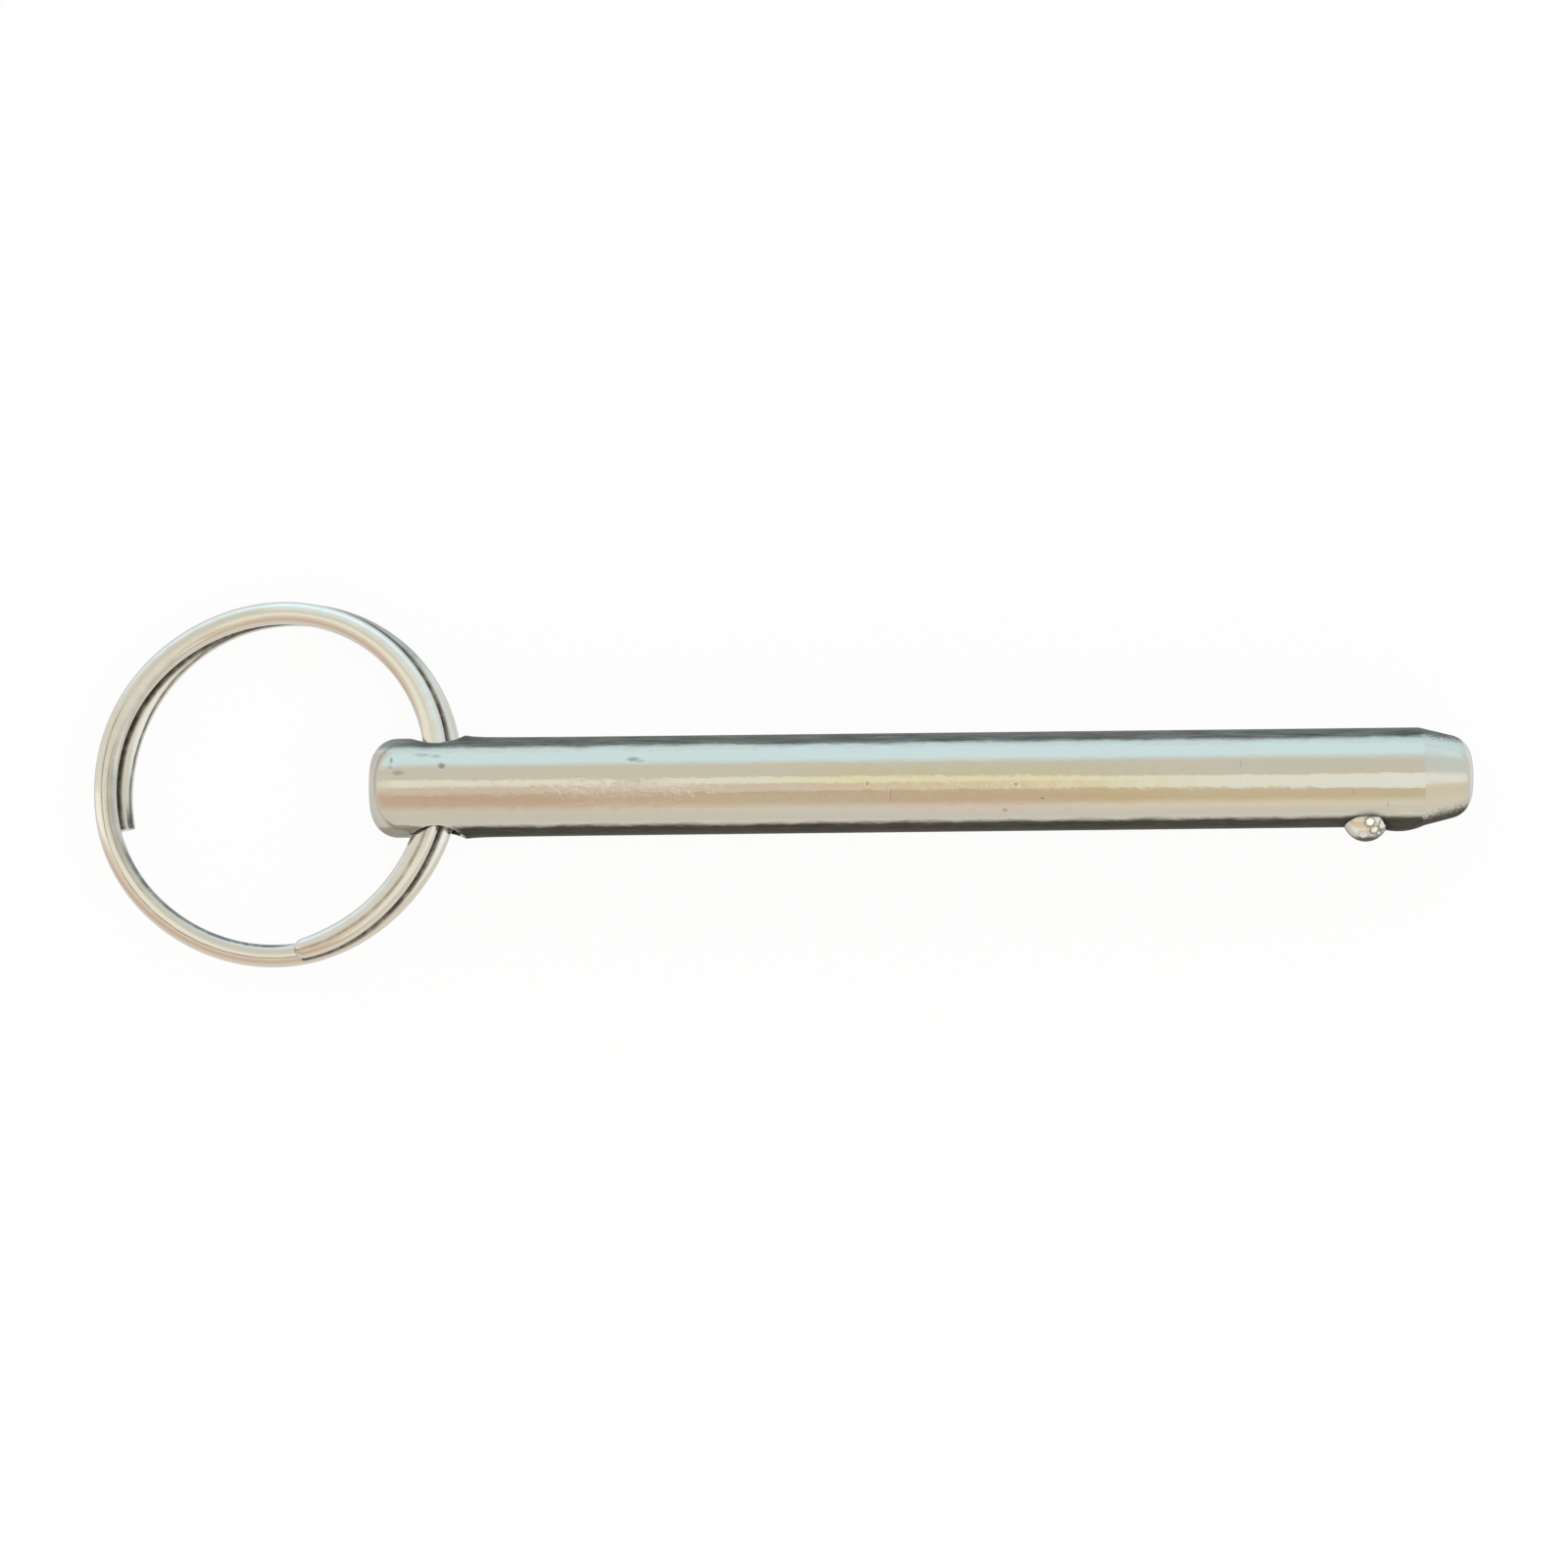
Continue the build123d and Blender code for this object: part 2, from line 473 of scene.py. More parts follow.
@dataclass(frozen=True)
class Head:
    """How the rounded head looks against the bar.

    Attributes:
        end: Where it ends along X, in millimetres.
        rim: Where it comes up, from its end, in millimetres.
        roughness: What it adds to the roughness.
        left_reflection: The least share of the painted dark reflection at +Y, and from where to
            where it grows to all of it.
        right_reflection: The same at -Y.
    """

    end: float = -48.3
    rim: tuple[float, float] = (-0.6, 0.2)
    roughness: float = 0.12
    left_reflection: Point = (0.62, -2.0, 3.0)
    right_reflection: Point = (0.5, 4.8, 6.6)


@dataclass(frozen=True)
class Site:
    """Where a shaded point lies, as sockets.

    Attributes:
        desk: The material's desk.
        vector: Its position in millimetres.
        along: The position's X.
        side: The position's Y.
        height: The position's Z.
        nose: 1 on the nose and 0 elsewhere.
        ahead: How far it lies past the nose's start, in millimetres.
    """

    desk: NodeDesk
    vector: Socket
    along: Socket
    side: Socket
    height: Socket
    nose: object = 0.0
    ahead: object = 0.0

    def pair(self, levels: tuple[float, float] = (0.0, 1.0)) -> Socket:
        """The first level on the -Y side and the second on the +Y side."""
        return self.desk.step(self.side, -0.5, 0.5, levels)


@dataclass(frozen=True)
class SteelFinish:
    """A plated or polished steel surface, and how it is worn.

    Attributes:
        name: The material's name.
        slot: The record's material slot; not used.
        base: Colour of clean metal.
        roughness: Roughness of clean metal.
        edge_tint: Reflectance at a glancing angle, against clean metal's.
        grain: Which way the tool marks run.
        grain_depth: Height of the tool marks in millimetres.
        wave_depth: Height of the slow unevenness in millimetres.
        scratch_cover: Share of the surface that has scratches.
        dark_reflection: The painted dark reflection on its flanks, or None.
        shade_and_dirt_tone: Colour of the painted shade and dirt.
        warm: Colour of the passivated patches.
        stains: The passivated patches, with their strength as depth.
        pits: Small dark marks.
        pit_tint: Colour of the small dark marks.
        scuffs: Places where the surface is rubbed uneven and browner, with the height as depth.
        scuff_tint: Colour of the rubbed places.
        blue_reflection: Colour of the thin painted bluish reflection inside the painted dark
            reflection at +Y, or None.
        painted_light: Colour of the painted light and painted highlights, or None.
        painted_lines: Lines painted along a wire, as reflections and shade.
        nose: How its nose differs, or None.
        head: How its head differs, or None.
    """

    name: str
    slot: str
    base: Colour
    roughness: float
    edge_tint: float
    grain: Grain
    grain_depth: float
    wave_depth: float
    scratch_cover: float
    dark_reflection: DarkReflection | None = None
    shade_and_dirt_tone: Colour = (0.2, 0.2, 0.2)
    warm: Colour = (0.61, 0.53, 0.34)
    stains: tuple[Blemish, ...] = ()
    pits: tuple[Blemish, ...] = ()
    pit_tint: Colour = (0.105, 0.109, 0.104)
    scuffs: tuple[Blemish, ...] = ()
    scuff_tint: Colour = (0.57, 0.49, 0.425)
    blue_reflection: Colour | None = None
    painted_light: Colour | None = None
    painted_lines: tuple[PaintedLine, ...] = ()
    nose: Nose | None = None
    head: Head | None = None

    BLUE_REFLECTION_EDGE = (3.31, 3.41)
    BLUE_REFLECTION_HEIGHTS = (0.2, 2.2)
    PIT_STRENGTH = 0.6
    PIT_DEPTH = 0.03
    SCUFF_STRENGTH = 0.8
    SCRATCH_DEPTH = 0.002
    SCRATCH_ROUGHNESS = 0.10
    DARK_REFLECTION_ROUGHNESS = 0.12
    COVER_DULLS = 0.75

    def _site(self, desk: NodeDesk) -> Site:
        """Read where the shaded point lies.

        Args:
            desk: The material's desk.

        Returns:
            The point's place.
        """
        place = desk.put("ShaderNodeTexCoord").outputs["Object"]
        vector = desk.out("ShaderNodeVectorMath", {0: place, 3: 1.0 / MM}, operation="SCALE")
        axes = desk.put("ShaderNodeSeparateXYZ", {0: vector}).outputs
        if self.nose is None:
            return Site(desk, vector, *axes)
        start, edge = self.nose.start, self.nose.edge
        nose = desk.step(axes["X"], start - edge, start + edge)
        ahead = desk.math("MAXIMUM", desk.sub(axes["X"], start), 0.0)
        return Site(desk, vector, *axes, nose, ahead)

    def _grain_vector(self, site: Site) -> Socket:
        """Stretch the position so that noise read there makes lines along the tool marks.

        Args:
            site: The point's place.

        Returns:
            The stretched position's socket.
        """
        desk = site.desk
        if self.grain is Grain.DRAWN:
            return desk.stretch(site.vector, (0.12, 3.2, 3.2))
        if self.grain is Grain.WOUND:
            run = desk.mul(desk.attribute("run"), 0.12)
            across = desk.mul(desk.attribute("across"), 3.2)
            return desk.out("ShaderNodeCombineXYZ", {0: run, 1: across})
        return desk.stretch(site.vector, (2.0, 2.0, 2.0))

    def _masks(self, site: Site, marks: tuple[Blemish, ...]) -> list[Socket]:
        """Place one ragged patch for each mark.

        Args:
            site: The point's place.
            marks: The marks.

        Returns:
            Each mark's mask socket, scaled by its depth.
        """
        masks = []
        for mark in marks:
            small = max(mark.reach) < 2.0
            inputs = {
                "Vector": site.vector,
                "Centre": mark.centre,
                "Reach": mark.reach,
                "Ragged": 0.6 if small else 1.5,
                "Core": 0.3 if small else 0.0,
            }
            masks.append(site.desk.mul(site.desk.group(Effects.patch(), inputs), mark.depth))
        return masks

    def _lines(self, site: Site) -> Socket:
        """Cut the tool marks, which are coarser on the nose.

        Args:
            site: The point's place.

        Returns:
            The socket of their height, from 0 up.
        """
        desk = site.desk
        lines = desk.group(Effects.grain(), {"Vector": self._grain_vector(site), "Fine Share": 0.6})
        if self.nose is None:
            return lines
        turned = desk.stretch(site.vector, self.nose.line_scale)
        turned = desk.group(Effects.grain(), {"Vector": turned, "Fine Share": 1.0})
        change = desk.sub(desk.mul(turned, self.nose.line_gain), lines)
        return desk.add(lines, desk.mul(change, site.nose))

    def _reflection_share(self, site: Site) -> object:
        """Lay the painted dark reflection on the flanks.

        Args:
            site: The point's place.

        Returns:
            The socket of how much of it shows, or 0 where there is no painted dark reflection.
        """
        desk, dark_reflection, nose = site.desk, self.dark_reflection, self.nose
        if dark_reflection is None:
            return 0.0
        out = desk.math("ABSOLUTE", desk.sub(site.side, dark_reflection.middle))
        softness = dark_reflection.softness
        if nose is not None:
            out = desk.add(out, desk.mul(site.ahead, site.pair(nose.reflection_rise)))
            specks = desk.sub(desk.noise(site.vector, 5.0, 3.0, 0.7), 0.5)
            out = desk.add(out, desk.mul(specks, site.nose, nose.specks))
            softness = desk.add(desk.mul(site.nose, site.pair(nose.reflection_soft)), dark_reflection.softness)
        inputs = {
            "Vector": desk.stretch(site.vector, (0.35, 1.0, 1.0)),
            "Out": out,
            "Level": dark_reflection.level,
            "Softness": softness,
            "Blotch": dark_reflection.blotch,
        }
        shown = desk.group(Effects.flank_dark_reflection(), inputs)
        reflection_share = desk.mul(shown, desk.mul(desk.step(site.height, *dark_reflection.fades), dark_reflection.amount))
        if self.head is None:
            return reflection_share
        end = self.head.end
        left, right = (
            desk.step(site.along, end + low, end + high, (least, 1.0))
            for least, low, high in (self.head.left_reflection, self.head.right_reflection)
        )
        change = desk.mul(desk.sub(left, right), site.pair())
        return desk.mul(reflection_share, desk.add(right, change))

    def _blue_reflected(self, site: Site, colour: Socket) -> Socket:
        """Paint a bluish reflection on the rim inside the painted dark reflection at +Y, which
        comes nearer on the nose.

        Args:
            site: The point's place.
            colour: The colour so far.

        Returns:
            The tinged colour's socket.
        """
        desk, nose, flank = site.desk, self.nose, site.side
        if nose is not None:
            past = desk.math("MAXIMUM", desk.sub(site.ahead, nose.corner), 0.0)
            drives = (site.ahead, site.nose, past)
            for drive, share in zip(drives, (nose.blue_rise, nose.blue_jump, nose.corner_rise)):
                flank = desk.add(flank, desk.mul(drive, share))
        shown = desk.mul(
            desk.step(flank, *self.BLUE_REFLECTION_EDGE), desk.step(site.height, *self.BLUE_REFLECTION_HEIGHTS)
        )
        return desk.blend(shown, colour, self.blue_reflection)

    def _reflection_darkened(self, site: Site, reflection_share: Socket, colour: Socket) -> Socket:
        """Cover a colour with the streaky painted dark reflection.

        Args:
            site: The point's place.
            reflection_share: How much of the painted dark reflection shows.
            colour: The colour so far.

        Returns:
            The covered colour's socket.
        """
        desk = site.desk
        tone = desk.blend(site.pair(), self.dark_reflection.right, self.dark_reflection.left)
        streaks = desk.noise(desk.stretch(site.vector, (0.3, 3.0, 3.0)), 1.0, 4.0, 0.7)
        uneven = desk.step(streaks, 0.3, 0.7, self.dark_reflection.streaks)
        tone = desk.out("ShaderNodeVectorMath", {0: tone, 3: uneven}, operation="SCALE")
        return desk.blend(reflection_share, colour, tone)

    def _lined(self, desk: NodeDesk, colour: Socket) -> Socket:
        """Paint the lines of reflection and shade along a wire.

        Args:
            desk: The material's desk.
            colour: The colour so far.

        Returns:
            The lined colour's socket.
        """
        for line in self.painted_lines:
            inputs = {
                "Run": desk.attribute("run"),
                "Across": desk.attribute("across"),
                "Place": line.place,
                "Width": line.width,
                "Start": line.start,
                "End": line.end,
            }
            drawn = desk.group(Effects.painted_line(), inputs)
            colour = desk.blend(desk.mul(drawn, line.depth), colour, line.tone)
        return colour

    def material(self) -> bpy.types.Material:
        """Build the material.

        Returns:
            The material, ready for a piece's slot.
        """
        material = bpy.data.materials.new(self.name)
        desk = NodeDesk.cleared(material)
        site = self._site(desk)
        inputs = {"Vector": site.vector, "Width": 0.006, "Cover": self.scratch_cover}
        scratches = desk.group(Effects.scratches(), inputs)
        # Painted dark reflection on the flanks, laid by place on the part.
        reflection_share = self._reflection_share(site)
        scuffs = self._masks(site, self.scuffs)
        dents = 0.0
        for mask in self._masks(site, self.pits):
            dents = desk.math("MAXIMUM", dents, mask)
        patchy = desk.step(desk.noise(site.vector, 0.9, 4.0, 0.65), 0.35, 0.6, (0.75, 1.0))
        shade_and_dirt = desk.mul(desk.attribute("shade_and_dirt"), patchy)

        colour = desk.blend(0.0, self.base, self.base)
        for mask in self._masks(site, self.stains):
            colour = desk.blend(mask, colour, self.warm)
        for mask, mark in zip(scuffs, self.scuffs):
            shown = desk.mul(mask, self.SCUFF_STRENGTH / mark.depth)
            colour = desk.blend(shown, colour, self.scuff_tint)
        # Painted bluish reflection on a thin band at +Y.
        if self.blue_reflection is not None:
            colour = self._blue_reflected(site, colour)
        if self.dark_reflection is not None:
            colour = self._reflection_darkened(site, reflection_share, colour)
        colour = self._lined(desk, colour)
        colour = desk.blend(desk.mul(dents, self.PIT_STRENGTH), colour, self.pit_tint)
        # Painted light: brighter metal in the ring hole, on the bar's ends and on the ball's flats.
        if self.painted_light is not None:
            colour = desk.blend(desk.attribute("painted_light"), colour, self.painted_light)
        # Painted shade and dirt read from the mesh; with the painted dark reflection it also makes
        # the metal less metallic.
        colour = desk.blend(shade_and_dirt, colour, self.shade_and_dirt_tone)
        covered = desk.mul(desk.math("MAXIMUM", reflection_share, shade_and_dirt), self.COVER_DULLS)

        rough = desk.add(desk.mul(scratches, self.SCRATCH_ROUGHNESS), self.roughness)
        rough = desk.add(rough, desk.mul(reflection_share, self.DARK_REFLECTION_ROUGHNESS))
        if self.nose is not None:
            rough = desk.add(rough, desk.mul(site.nose, self.nose.roughness))
        if self.head is not None:
            low, high = self.head.rim
            head = desk.step(site.along, self.head.end + low, self.head.end + high, (1.0, 0.0))
            rough = desk.add(rough, desk.mul(head, self.head.roughness))

        wave = desk.noise(desk.stretch(site.vector, (0.3, 0.7, 0.7)), 1.0, 3.0, 0.6)
        height = desk.mul(self._lines(site), self.grain_depth)
        height = desk.add(height, desk.mul(wave, self.wave_depth))
        height = desk.sub(height, desk.mul(scratches, self.SCRATCH_DEPTH))
        height = desk.sub(height, desk.mul(dents, self.PIT_DEPTH))
        rubbed = desk.noise(desk.stretch(site.vector, (1.3, 2.6, 2.6)), 1.0, 5.0, 0.65)
        for mask in scuffs:
            height = desk.add(height, desk.mul(mask, rubbed))
        bump = desk.out("ShaderNodeBump", {"Height": height, "Distance": MM, "Strength": 1.0})

        inputs = {
            "Base Color": colour,
            "Metallic": desk.sub(1.0, covered),
            "Roughness": rough,
            "Specular IOR Level": 0.0,
            "Specular Tint": (self.edge_tint, self.edge_tint, self.edge_tint, 1.0),
            "Normal": bump,
        }
        shader = desk.out("ShaderNodeBsdfPrincipled", inputs)
        desk.put("ShaderNodeOutputMaterial", {"Surface": shader})
        return material


@dataclass(frozen=True)
class Finishes:
    """Every finish on the pin."""

    shank: SteelFinish = SteelFinish(
        name="zinc_shank",
        slot="zinc_shank",
        base=(0.59, 0.555, 0.485),
        # Painted dark reflection along both flanks of the bar.
        dark_reflection=DarkReflection((0.105, 0.109, 0.104), (0.032, 0.031, 0.025), 0.95, level=3.5, softness=0.5),
        shade_and_dirt_tone=(0.032, 0.031, 0.025),
        roughness=0.09,
        edge_tint=0.7,
        grain=Grain.DRAWN,
        grain_depth=0.0016,
        wave_depth=0.03,
        scratch_cover=0.5,
        stains=(
            Blemish((9.0, 0.0, 4.6), (24.0, 2.6, 3.0), 0.75),
            Blemish((20.0, -1.5, 4.4), (10.0, 1.6, 3.0), 0.5),
            Blemish((-4.0, 0.8, 4.6), (9.0, 1.6, 3.0), 0.5),
            Blemish((34.0, -2.2, 4.0), (22.0, 1.3, 2.5), 0.35),
        ),
        pits=(
            Blemish((-48.5, 2.65, 3.9), (0.25, 0.5, 0.6), 0.9),
            Blemish((-47.8, 1.45, 4.5), (0.8, 0.35, 0.6), 0.6),
            Blemish((-48.6, 1.95, 4.3), (0.35, 0.3, 0.6), 0.4),
            Blemish((-45.6, 3.15, 3.5), (1.0, 0.3, 0.6), 0.5),
            Blemish((-44.3, 3.0, 3.6), (0.7, 0.28, 0.6), 0.55),
            Blemish((-43.7, 2.0, 4.2), (0.5, 0.42, 0.6), 1.0),
            Blemish((-25.5, 2.5, 4.1), (0.85, 0.33, 0.6), 0.9),
            Blemish((-24.9, 2.3, 4.1), (0.7, 0.16, 0.6), 0.5),
            Blemish((-3.3, -0.1, 4.7), (0.2, 0.3, 0.5), 0.8),
            Blemish((-1.1, -1.1, 4.6), (0.12, 0.8, 0.5), 0.5),
            Blemish((10.8, -0.3, 4.7), (0.22, 0.22, 0.5), 0.8),
            Blemish((13.3, -1.6, 4.4), (0.3, 0.2, 0.5), 0.8),
            Blemish((9.8, -2.7, 3.9), (0.35, 0.2, 0.5), 0.6),
            Blemish((32.2, 1.4, 4.5), (0.07, 0.65, 0.5), 0.6),
            Blemish((42.9, -1.3, 4.5), (0.14, 0.4, 0.5), 0.35),
            Blemish((46.2, -2.6, 4.0), (0.16, 0.4, 0.5), 0.4),
        ),
        scuffs=(
            Blemish((-25.6, -0.7, 4.6), (9.0, 1.8, 3.0), 0.05),
            Blemish((-36.0, -1.2, 4.4), (22.0, 2.0, 3.0), 0.028),
            Blemish((8.0, -1.5, 4.5), (22.0, 2.0, 3.0), 0.01),
        ),
        # Colour of the painted bluish reflection inside the dark one at +Y.
        blue_reflection=(0.56, 0.67, 0.655),
        # Colour of the painted light on the bar's ends and in its ring hole.
        painted_light=(0.83, 0.81, 0.79),
        nose=Nose(),
        head=Head(),
    )
    ring: SteelFinish = SteelFinish(
        name="ring_wire",
        slot="ring_wire",
        base=(0.64, 0.60, 0.55),
        # Colour of the painted shade and dirt in the gap between the coils.
        shade_and_dirt_tone=(0.085, 0.072, 0.055),
        roughness=0.15,
        edge_tint=0.9,
        grain=Grain.WOUND,
        grain_depth=0.004,
        wave_depth=0.008,
        scratch_cover=0.4,
        # Light lines are painted reflections; dark lines are painted dark reflections, and the
        # darkest at the inner edge painted shade.
        painted_lines=(
            PaintedLine(0.6, 0.55, 18.0, 50.0, 0.75, (0.80, 0.82, 0.80)),
            PaintedLine(0.3, 0.7, 116.0, 142.0, 0.6, (0.78, 0.79, 0.77)),
            PaintedLine(0.75, 0.35, 44.0, 80.0, 0.6, (0.78, 0.76, 0.72)),
            PaintedLine(-0.7, 0.6, -3.0, 24.0, 0.5, (0.78, 0.76, 0.73)),
            PaintedLine(-0.45, 0.55, 52.0, 82.0, 0.35, (0.42, 0.35, 0.29)),
            PaintedLine(0.8, 0.5, 134.0, 149.0, 0.65, (0.20, 0.22, 0.22)),
            PaintedLine(0.6, 0.45, -3.0, 27.0, 0.5, (0.60, 0.51, 0.44)),
            PaintedLine(0.12, 0.3, -3.0, 25.0, 0.8, (0.25, 0.195, 0.15)),
            PaintedLine(0.6, 0.1, 14.0, 26.0, 0.4),
            PaintedLine(0.32, 0.1, 64.0, 104.0, 0.6),
            PaintedLine(-0.39, 0.09, 68.0, 86.0, 0.6),
            PaintedLine(-0.8, 0.3, 56.0, 86.0, 0.3),
            PaintedLine(-1.0, 0.22, 78.0, 101.0, 0.95, (0.14, 0.15, 0.145)),
            PaintedLine(-1.02, 0.13, 148.0, 184.0, 0.9, (0.14, 0.15, 0.145)),
            PaintedLine(-0.85, 0.35, 175.5, 184.0, 1.0, (0.10, 0.10, 0.095)),
        ),
    )
    ball: SteelFinish = SteelFinish(
        name="ball_steel",
        slot="ball_steel",
        base=(0.63, 0.60, 0.55),
        # Painted dark reflection on the ball's outer side.
        dark_reflection=DarkReflection((0.16, 0.16, 0.15), (0.085, 0.08, 0.065), 0.9, level=5.45, softness=0.45),
        shade_and_dirt_tone=(0.085, 0.08, 0.065),
        roughness=0.08,
        edge_tint=0.35,
        grain=Grain.POLISHED,
        grain_depth=0.0004,
        wave_depth=0.002,
        scratch_cover=0.4,
        # Colour of the painted highlights on the ball's flats.
        painted_light=(0.86, 0.83, 0.76),
    )
    spring: SteelFinish = SteelFinish(
        name="spring_wire",
        slot="spring_wire",
        base=(0.50, 0.50, 0.50),
        roughness=0.22,
        edge_tint=0.3,
        grain=Grain.POLISHED,
        grain_depth=0.001,
        wave_depth=0.0,
        scratch_cover=0.3,
    )


def link_mesh(name: str, mesh: Mesh) -> Object:
    """Put a mesh in the scene as an object at the origin.

    Args:
        name: The object's name.
        mesh: Its mesh.

    Returns:
        The object.
    """
    thing = bpy.data.objects.new(name, mesh)
    bpy.context.scene.collection.objects.link(thing)
    return thing


def settle(thing: Object) -> Mesh:
    """Turn an object with modifiers into a plain mesh and remove the object.

    Args:
        thing: The object with live modifiers.

    Returns:
        The evaluated mesh.
    """
    seen = thing.evaluated_get(bpy.context.evaluated_depsgraph_get())
    mesh = bpy.data.meshes.new_from_object(seen)
    bpy.data.objects.remove(thing)
    return mesh


def smooth(mesh: Mesh, crease: float) -> None:
    """Shade a mesh smoothly, with sharp edges where its faces meet at more than crease.

    Args:
        mesh: The mesh.
        crease: The angle in degrees.
    """
    mesh.polygons.foreach_set("use_smooth", [True] * len(mesh.polygons))
    mesh.set_sharp_from_angle(angle=math.radians(crease))


def spun(outline: list[tuple[float, float]], segments: int) -> Mesh:
    """Turn an outline about Z into a closed solid.

    Args:
        outline: (radius, height) points, from the axis at one end to the axis at the other.
        segments: Faces around.

    Returns:
        The solid's mesh, in the units of the outline.
    """
    shell = bmesh.new()
    rings = []
    for radius, height in outline:
        if radius < 1e-9:
            rings.append([shell.verts.new((0.0, 0.0, height))])
            continue
        turn = [2 * math.pi * index / segments for index in range(segments)]
        round_ = [(radius * math.cos(angle), radius * math.sin(angle), height) for angle in turn]
        rings.append([shell.verts.new(spot) for spot in round_])
    for lower, upper in zip(rings, rings[1:]):
        for index in range(segments):
            following = (index + 1) % segments
            corners = []
            for ring, first, second in ((lower, index, following), (upper, following, index)):
                corners += [ring[0]] if len(ring) == 1 else [ring[first], ring[second]]
            shell.faces.new(corners)
    bmesh.ops.recalc_face_normals(shell, faces=shell.faces)
    mesh = bpy.data.meshes.new("spun")
    shell.to_mesh(mesh)
    shell.free()
    return mesh


def store(mesh: Mesh, name: str, values: np.ndarray) -> None:
    """Keep one number for each of a mesh's points, for the material to read.

    Args:
        mesh: The mesh.
        name: The number's name.
        values: The numbers.
    """
    mesh.attributes.new(name, "FLOAT", "POINT").data.foreach_set("value", values)


def share_of(values: np.ndarray, low: float, high: float) -> np.ndarray:
    """How far each value lies from low to high, held between 0 and 1."""
    return np.clip((values - low) / (high - low), 0.0, 1.0)


@dataclass
class Shank:
    """The turned bar with its ring hole, ball pocket, staked metal and raised hole edges."""

    radius: float = 4.7625
    hole_x: float = -44.45
    ball_x: float = 44.45
    head_x: float = -50.95
    head_crown: float = 0.12
    head_round: tuple[float, float] = (2.7, 2.9)
    tip_x: float = 54.70
    nose_length: float = 5.0
    nose_half_angle: float = 14.0
    nose_corner: float = 2.4
    hole_radius: float = 2.629
    hole_chamfer: float = 0.25
    hole_roll: float = 8.5
    ball_roll: float = 14.0
    ball_height: float = 4.0695
    pocket_radius: float = 2.213
    pocket_floor: float = -2.3975
    drill_angle: float = 118.0
    lip_height: float = 1.203
    stake_height: float = 0.48
    stake_half_length: float = 2.3
    stake_half_width: float = 2.8
    stake_offset: float = 3.2
    burr_height: float = 0.14
    burr_reach: float = 0.8
    burr_tail: float = 0.13
    burr_tail_reach: float = 3.5
    burr_half_angle: float = 24.0
    burr_behind: float = 0.4
    burr_shares: tuple[float, float] = (1.0, 0.7)
    fine_rows: tuple[float, float, float] = (-47.8, -41.0, 39.5)
    around: int = 288
    burr_darkening: float = 0.6
    burr_darkening_heights: tuple[float, float] = (0.036, 0.156)
    pocket_darkening: float = 0.75
    pocket_darkening_reach: float = 0.35
    hole_light: float = 0.7
    hole_light_rim: float = 0.04
    tip_light: float = 0.85
    tip_reach: tuple[float, float] = (-0.6, -0.3)
    tip_lean: tuple[float, float] = (1.0, 0.22)
    head_light: float = 0.35
    head_reach: tuple[float, float] = (0.3, 0.7)
    face_light: tuple[float, float, float] = (0.9, 1.7, 0.3)

    def _outline(self) -> np.ndarray:
        """The bar's outline from the middle of the head's face to the middle of the nose's end.

        Returns:
            Rows of x and radius.
        """
        length, depth = self.head_round
        flat = self.radius - depth
        start = self.head_x + self.head_crown
        points = [(self.head_x + self.head_crown * (f * f), flat * f) for f in np.linspace(0, 1, 8)]
        for angle in np.linspace(0, math.pi / 2, 37)[1:]:
            across = flat + depth * math.sin(angle)
            points.append((start + length * (1 - math.cos(angle)), across))
        cone_start = self.tip_x - self.nose_length
        stops = (start + length, *self.fine_rows, cone_start)
        for low, count, high in zip(stops, (24, 34, 66, 64), stops[1:]):
            points += [(x, self.radius) for x in np.linspace(low, high, count + 1)[1:]]
        slope = math.tan(math.radians(self.nose_half_angle))
        turn = math.radians(self.nose_half_angle)
        centre_x = self.tip_x - self.nose_corner
        centre_r = self.radius - (centre_x - cone_start) * slope - self.nose_corner / math.cos(turn)
        cone_end = centre_x + self.nose_corner * math.sin(turn)
        for x in np.linspace(cone_start, cone_end, 15)[1:]:
            points.append((x, self.radius - (x - cone_start) * slope))
        for angle in np.linspace(math.pi / 2 - turn, 0, 25)[1:]:
            across = centre_r + self.nose_corner * math.sin(angle)
            points.append((centre_x + self.nose_corner * math.cos(angle), across))
        points += [(self.tip_x, centre_r * share) for share in (0.66, 0.33, 0.0)]
        return np.array(points)

    def _stake(self, x: np.ndarray, angle: np.ndarray) -> np.ndarray:
        """How far out the staked metal reaches, as a radius.

        Args:
            x: Places along the pin.
            angle: Places around it, from +Y towards +Z.

        Returns:
            The staked metal's radius there, or 0 where there is none.
        """
        top = self.radius + self.stake_height
        edge = math.sqrt(self.radius**2 - self.stake_half_width**2)
        middle = (top**2 - self.radius**2) / (2 * (top - edge))
        ball_round = top - middle
        emerging = (self.radius - middle) / ball_round
        reach = self.stake_half_length / math.sqrt(1 - emerging**2)
        away = angle - (math.pi - math.radians(self.ball_roll))
        slice_radius = ball_round**2 * (1 - ((x - self.ball_x - self.stake_offset) / reach) ** 2)
        room = slice_radius - (middle * np.sin(away)) ** 2
        radius = middle * np.cos(away) + np.sqrt(np.maximum(room, 0.0))
        return np.where((room > 0) & (np.cos(away) > 0), radius, 0.0)

